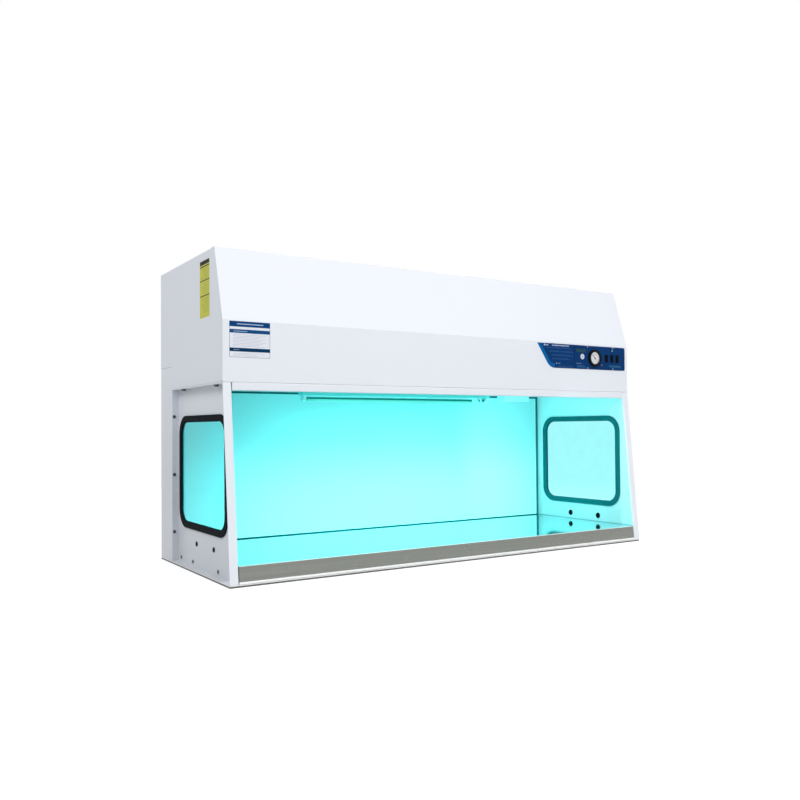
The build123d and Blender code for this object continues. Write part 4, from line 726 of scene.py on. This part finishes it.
def dial_ring(radius, width, first, last):
    """A printed arc: one short edge spun about the gauge's middle."""
    ring = upright_sheet(0.0001, width)
    place_on_dial(ring, radius, first)
    bpy.ops.object.mode_set(mode="EDIT")
    start, away = dial_point(radius, first), dial_point(radius, first + 1.0) - dial_point(radius, first)
    pick(ring, "edges", lambda edge: all((vert.co - start).dot(away) > 0 for vert in edge.verts))
    bpy.ops.mesh.spin(steps=48, angle=-math.radians(last - first), center=(DIAL_X, DIAL_Y, DIAL_Z),
                      axis=(0.0, -1.0, 0.0))
    bpy.ops.mesh.select_all(action="SELECT")
    bpy.ops.mesh.remove_doubles(threshold=0.000001)
    outward_normals()
    bpy.ops.object.mode_set(mode="OBJECT")
    thicken(ring, INK_THICKNESS)
    return ring


numbered = range(0, SCALE_SWEEP + 1, NUMBER_STEP)
halfway = range(NUMBER_STEP // 2, SCALE_SWEEP, NUMBER_STEP)
marks = [dial_ring(0.0215, 0.0006, 0.0, SCALE_SWEEP)]
marks += [dial_mark(sweep, 0.0185, 0.0218, 0.0007) for sweep in numbered]
marks += [dial_mark(sweep, 0.0200, 0.0218, 0.0004) for sweep in halfway]
settle(join(marks), "dial_scale", dial_ink)

numbers = []
for count, sweep in enumerate(numbered):
    nothing_selected()
    bpy.ops.object.text_add(location=(0.0, 0.0, 0.0))
    number = bpy.context.object
    number.data.body = str(count)
    number.data.size = 0.0056
    number.data.align_x = "CENTER"
    number.data.align_y = "CENTER"
    number.data.extrude = INK_THICKNESS / 2
    bpy.ops.object.convert(target="MESH")
    number = bpy.context.object
    number.rotation_euler = (math.pi / 2, 0.0, 0.0)
    number.location = dial_point(0.0152, sweep)
    bpy.ops.object.transform_apply(location=True, rotation=True, scale=True)
    numbers.append(number)
settle(join(numbers), "dial_numbers", dial_ink)


# Flush screws on the back and round the grilles, and the cross recesses in all the screw heads, which are painted
# shade.
def cross_recess(place, outward, size, turn):
    """One recess: a square with an arm drawn from each of its edges, and thickened."""
    half_square, arm = size * 0.12, size * 0.38
    recess = sheet(2 * half_square, 2 * half_square)
    bpy.ops.object.mode_set(mode="EDIT")
    for way in ((1, 0), (-1, 0), (0, 1), (0, -1)):
        root = Vector((*way, 0)) * half_square

        def at_root(edge):
            middle = (edge.verts[0].co + edge.verts[1].co) / 2
            return len(edge.link_faces) == 1 and (middle - root).length < size * 0.01

        pick(recess, "edges", at_root)
        bpy.ops.mesh.extrude_edges_move(TRANSFORM_OT_translate={"value": (way[0] * arm, way[1] * arm, 0.0)})
    outward_normals()
    bpy.ops.object.mode_set(mode="OBJECT")
    thicken(recess, 0.0002)
    set_on(recess, place, outward, turn)
    return recess


def flush_head(place, outward, turn):
    """A countersunk screw, level with its sheet: a disc drawn out by its paint's thickness, with a bevelled rim."""
    nothing_selected()
    bpy.ops.mesh.primitive_circle_add(vertices=24, radius=0.0042, fill_type="NGON", location=(0.0, 0.0, 0.0))
    head = bpy.context.object
    bpy.ops.object.mode_set(mode="EDIT")
    bpy.ops.mesh.select_all(action="SELECT")
    bpy.ops.mesh.extrude_region_move(TRANSFORM_OT_translate={"value": (0.0, 0.0, 0.00012)})
    bpy.ops.transform.resize(value=(0.94, 0.94, 1.0))
    bpy.ops.mesh.inset(thickness=0.0005, depth=0.0)
    outward_normals()
    bpy.ops.object.mode_set(mode="OBJECT")
    set_on(head, place, outward, turn)
    return head


# Painted shade: each recess is a thin dark plate on its head, standing for the shade in the hollow.
recess_shade = turned_metal("recess_shade", (0.03, 0.03, 0.035), 0.5)
flush_steel = turned_metal("flush_steel", (0.46, 0.47, 0.49), 0.30)
places = []
for x in (-0.90, -0.45, 0.0, 0.45, 0.90):
    for z in (1.080, 0.760, 0.714, 0.046):
        places.append(((x, FRONT, z), (0, 1, 0), x * 5 + z * 7))
for middle in (-GRILLE_X, GRILLE_X):
    for along in (-0.262, 0.0, 0.262):
        for deep in (-0.162, 0.162):
            places.append(((middle + along, GRILLE_Y + deep, ROOF_Z), (0, 0, 1), along * 9 + deep * 4 + middle))
settle(join([flush_head(*place) for place in places]), "flush_screws", flush_steel)
recesses = []
for side in (-1, 1):
    for turn, z in enumerate((0.549, 0.332, 0.118)):
        recesses.append(cross_recess((side * 0.931, 0.2248, z), (0, -1, 0), 0.0062, turn * 0.7 + side))
    for turn, y in enumerate((0.195, 0.065, -0.191)):
        recesses.append(cross_recess((side * 0.9172, y, 0.026), (side, 0, 0), 0.0062, turn * 1.1 + side))
for turn, x in enumerate((0.695, 0.849)):
    for z in (0.844, 0.753):
        recesses.append(cross_recess((x, -0.3095, z), (0, -1, 0), 0.0036, turn + z * 9))
for place, outward, turn in places:
    recesses.append(cross_recess(Vector(place) + Vector(outward) * 0.00008, outward, 0.0044, turn))
settle(join(recesses), "screw_recesses", recess_shade)


# ---------------------------------------------------------------- stage, light and camera


def floor_finish():
    """Pale floor that shows as white and keeps the soft shadow under the hood."""
    finish = Finish("pale_floor", Roughness=0.9, Specular_IOR_Level=0.0, Emission_Strength=1.0)
    path = {name: finish.node("ShaderNodeLightPath", out=name)
            for name in ("Is Camera Ray", "Is Glossy Ray", "Is Transmission Ray")}
    seen = path["Is Camera Ray"].either(path["Is Glossy Ray"]).either(path["Is Transmission Ray"])
    far = finish.node("ShaderNodeVectorMath", {"operation": "LENGTH"}, {0: finish.place}, 1)
    open_floor = finish.spread(far, (1.6, 0.0), (4.5, 1.0))
    return finish.wear(
        Base_Color=finish.shaded((1.0, 1.0, 1.0), 0.50 - open_floor * 0.5),
        Emission_Color=finish.shaded((1.0, 1.0, 1.0), seen * (open_floor * 0.38 + 0.62)),
    )


nothing_selected()
bpy.ops.mesh.primitive_grid_add(x_subdivisions=8, y_subdivisions=8, size=60.0, location=(0.0, 0.0, 0.0))
floor = bpy.context.object
floor.name = "studio_floor"
floor.data.materials.append(floor_finish())

world = bpy.data.worlds.new("studio")
bpy.context.scene.world = world
world.use_nodes = True
sky = world.node_tree
path = sky.nodes.new("ShaderNodeLightPath")
backdrop = sky.nodes["Background"]
backdrop.inputs["Color"].default_value = (1.0, 1.0, 1.0, 1.0)
backdrop.inputs["Strength"].default_value = 1.0
room = sky.nodes.new("ShaderNodeBackground")
room.inputs["Color"].default_value = (0.93, 0.95, 1.0, 1.0)
room.inputs["Strength"].default_value = 0.50
seen = path.outputs["Is Camera Ray"]
for ray in ("Is Glossy Ray", "Is Transmission Ray"):
    more = sky.nodes.new("ShaderNodeMath")
    more.operation = "MAXIMUM"
    sky.links.new(seen, more.inputs[0])
    sky.links.new(path.outputs[ray], more.inputs[1])
    seen = more.outputs[0]
either = sky.nodes.new("ShaderNodeMixShader")
sky.links.new(seen, either.inputs[0])
sky.links.new(room.outputs[0], either.inputs[1])
sky.links.new(backdrop.outputs[0], either.inputs[2])
sky.links.new(either.outputs[0], sky.nodes["World Output"].inputs["Surface"])


def soft_lamp(name, place, aim, size, power, colour=(1.0, 1.0, 1.0), spread=180.0):
    """A soft box at a place, facing a point. The spread of its beam is in degrees."""
    data = bpy.data.lights.new(name, "AREA")
    data.shape = "RECTANGLE"
    data.size, data.size_y = size
    data.energy = power
    data.color = colour
    data.spread = math.radians(spread)
    lamp = bpy.data.objects.new(name, data)
    bpy.context.scene.collection.objects.link(lamp)
    lamp.location = place
    lamp.rotation_euler = (Vector(aim) - Vector(place)).to_track_quat("-Z", "Y").to_euler()
    lamp.visible_camera = False
    lamp.visible_glossy = False
    lamp.visible_transmission = False


soft_lamp("key", (0.0, -4.5, 3.2), (0.0, 0.0, 0.8), (3.4, 2.4), 151.0)
soft_lamp("side", (-4.4, -0.8, 4.4), (-0.9, 0.0, 0.8), (2.4, 2.4), 112.0, (0.94, 0.975, 1.0))
soft_lamp("back", (1.2, 4.4, 2.4), (0.0, 0.0, 0.7), (3.4, 2.4), 105.0)
soft_lamp("right", (4.8, 0.2, 2.6), (0.9, 0.0, 0.7), (2.4, 2.4), 62.0)
soft_lamp("chamber_glow", (0.08, -0.335, 0.17), (0.08, 0.245, 0.21), (1.40, 0.16), 4.7, (0.24, 1.0, 0.98), 110.0)
soft_lamp("wall_glow", (0.50, -0.16, 0.38), (0.912, -0.06, 0.42), (0.5, 0.4), 1.0, (0.66, 1.0, 1.0))
soft_lamp("tube_glow", (0.0, 0.10, 0.600), (0.0, 0.06, 0.0), (0.9, 0.03), 0.8, (0.13, 1.0, 0.97))

picture_side, focal_length, picture_shift = 800, 815.7, 13  # in pixels
lens = bpy.data.cameras.new("camera")
lens.sensor_width = 36.0
lens.lens = focal_length / picture_side * lens.sensor_width
lens.shift_y = picture_shift / picture_side
camera = bpy.data.objects.new("camera", lens)
bpy.context.scene.collection.objects.link(camera)
yaw, pitch, roll = (math.radians(angle) for angle in (32.75, 1.09, -0.41))
forward = Vector((math.sin(yaw) * math.cos(pitch), math.cos(yaw) * math.cos(pitch), math.sin(pitch)))
level = Vector((math.cos(yaw), -math.sin(yaw), 0.0))
above = level.cross(forward)
right = level * math.cos(roll) + above * math.sin(roll)
up = above * math.cos(roll) - level * math.sin(roll)
turned = Matrix((right, up, -forward)).transposed().to_4x4()
camera.matrix_world = Matrix.Translation((-1.877, -2.814, 0.499)) @ turned
bpy.context.scene.camera = camera
bpy.context.scene.view_settings.view_transform = "Standard"
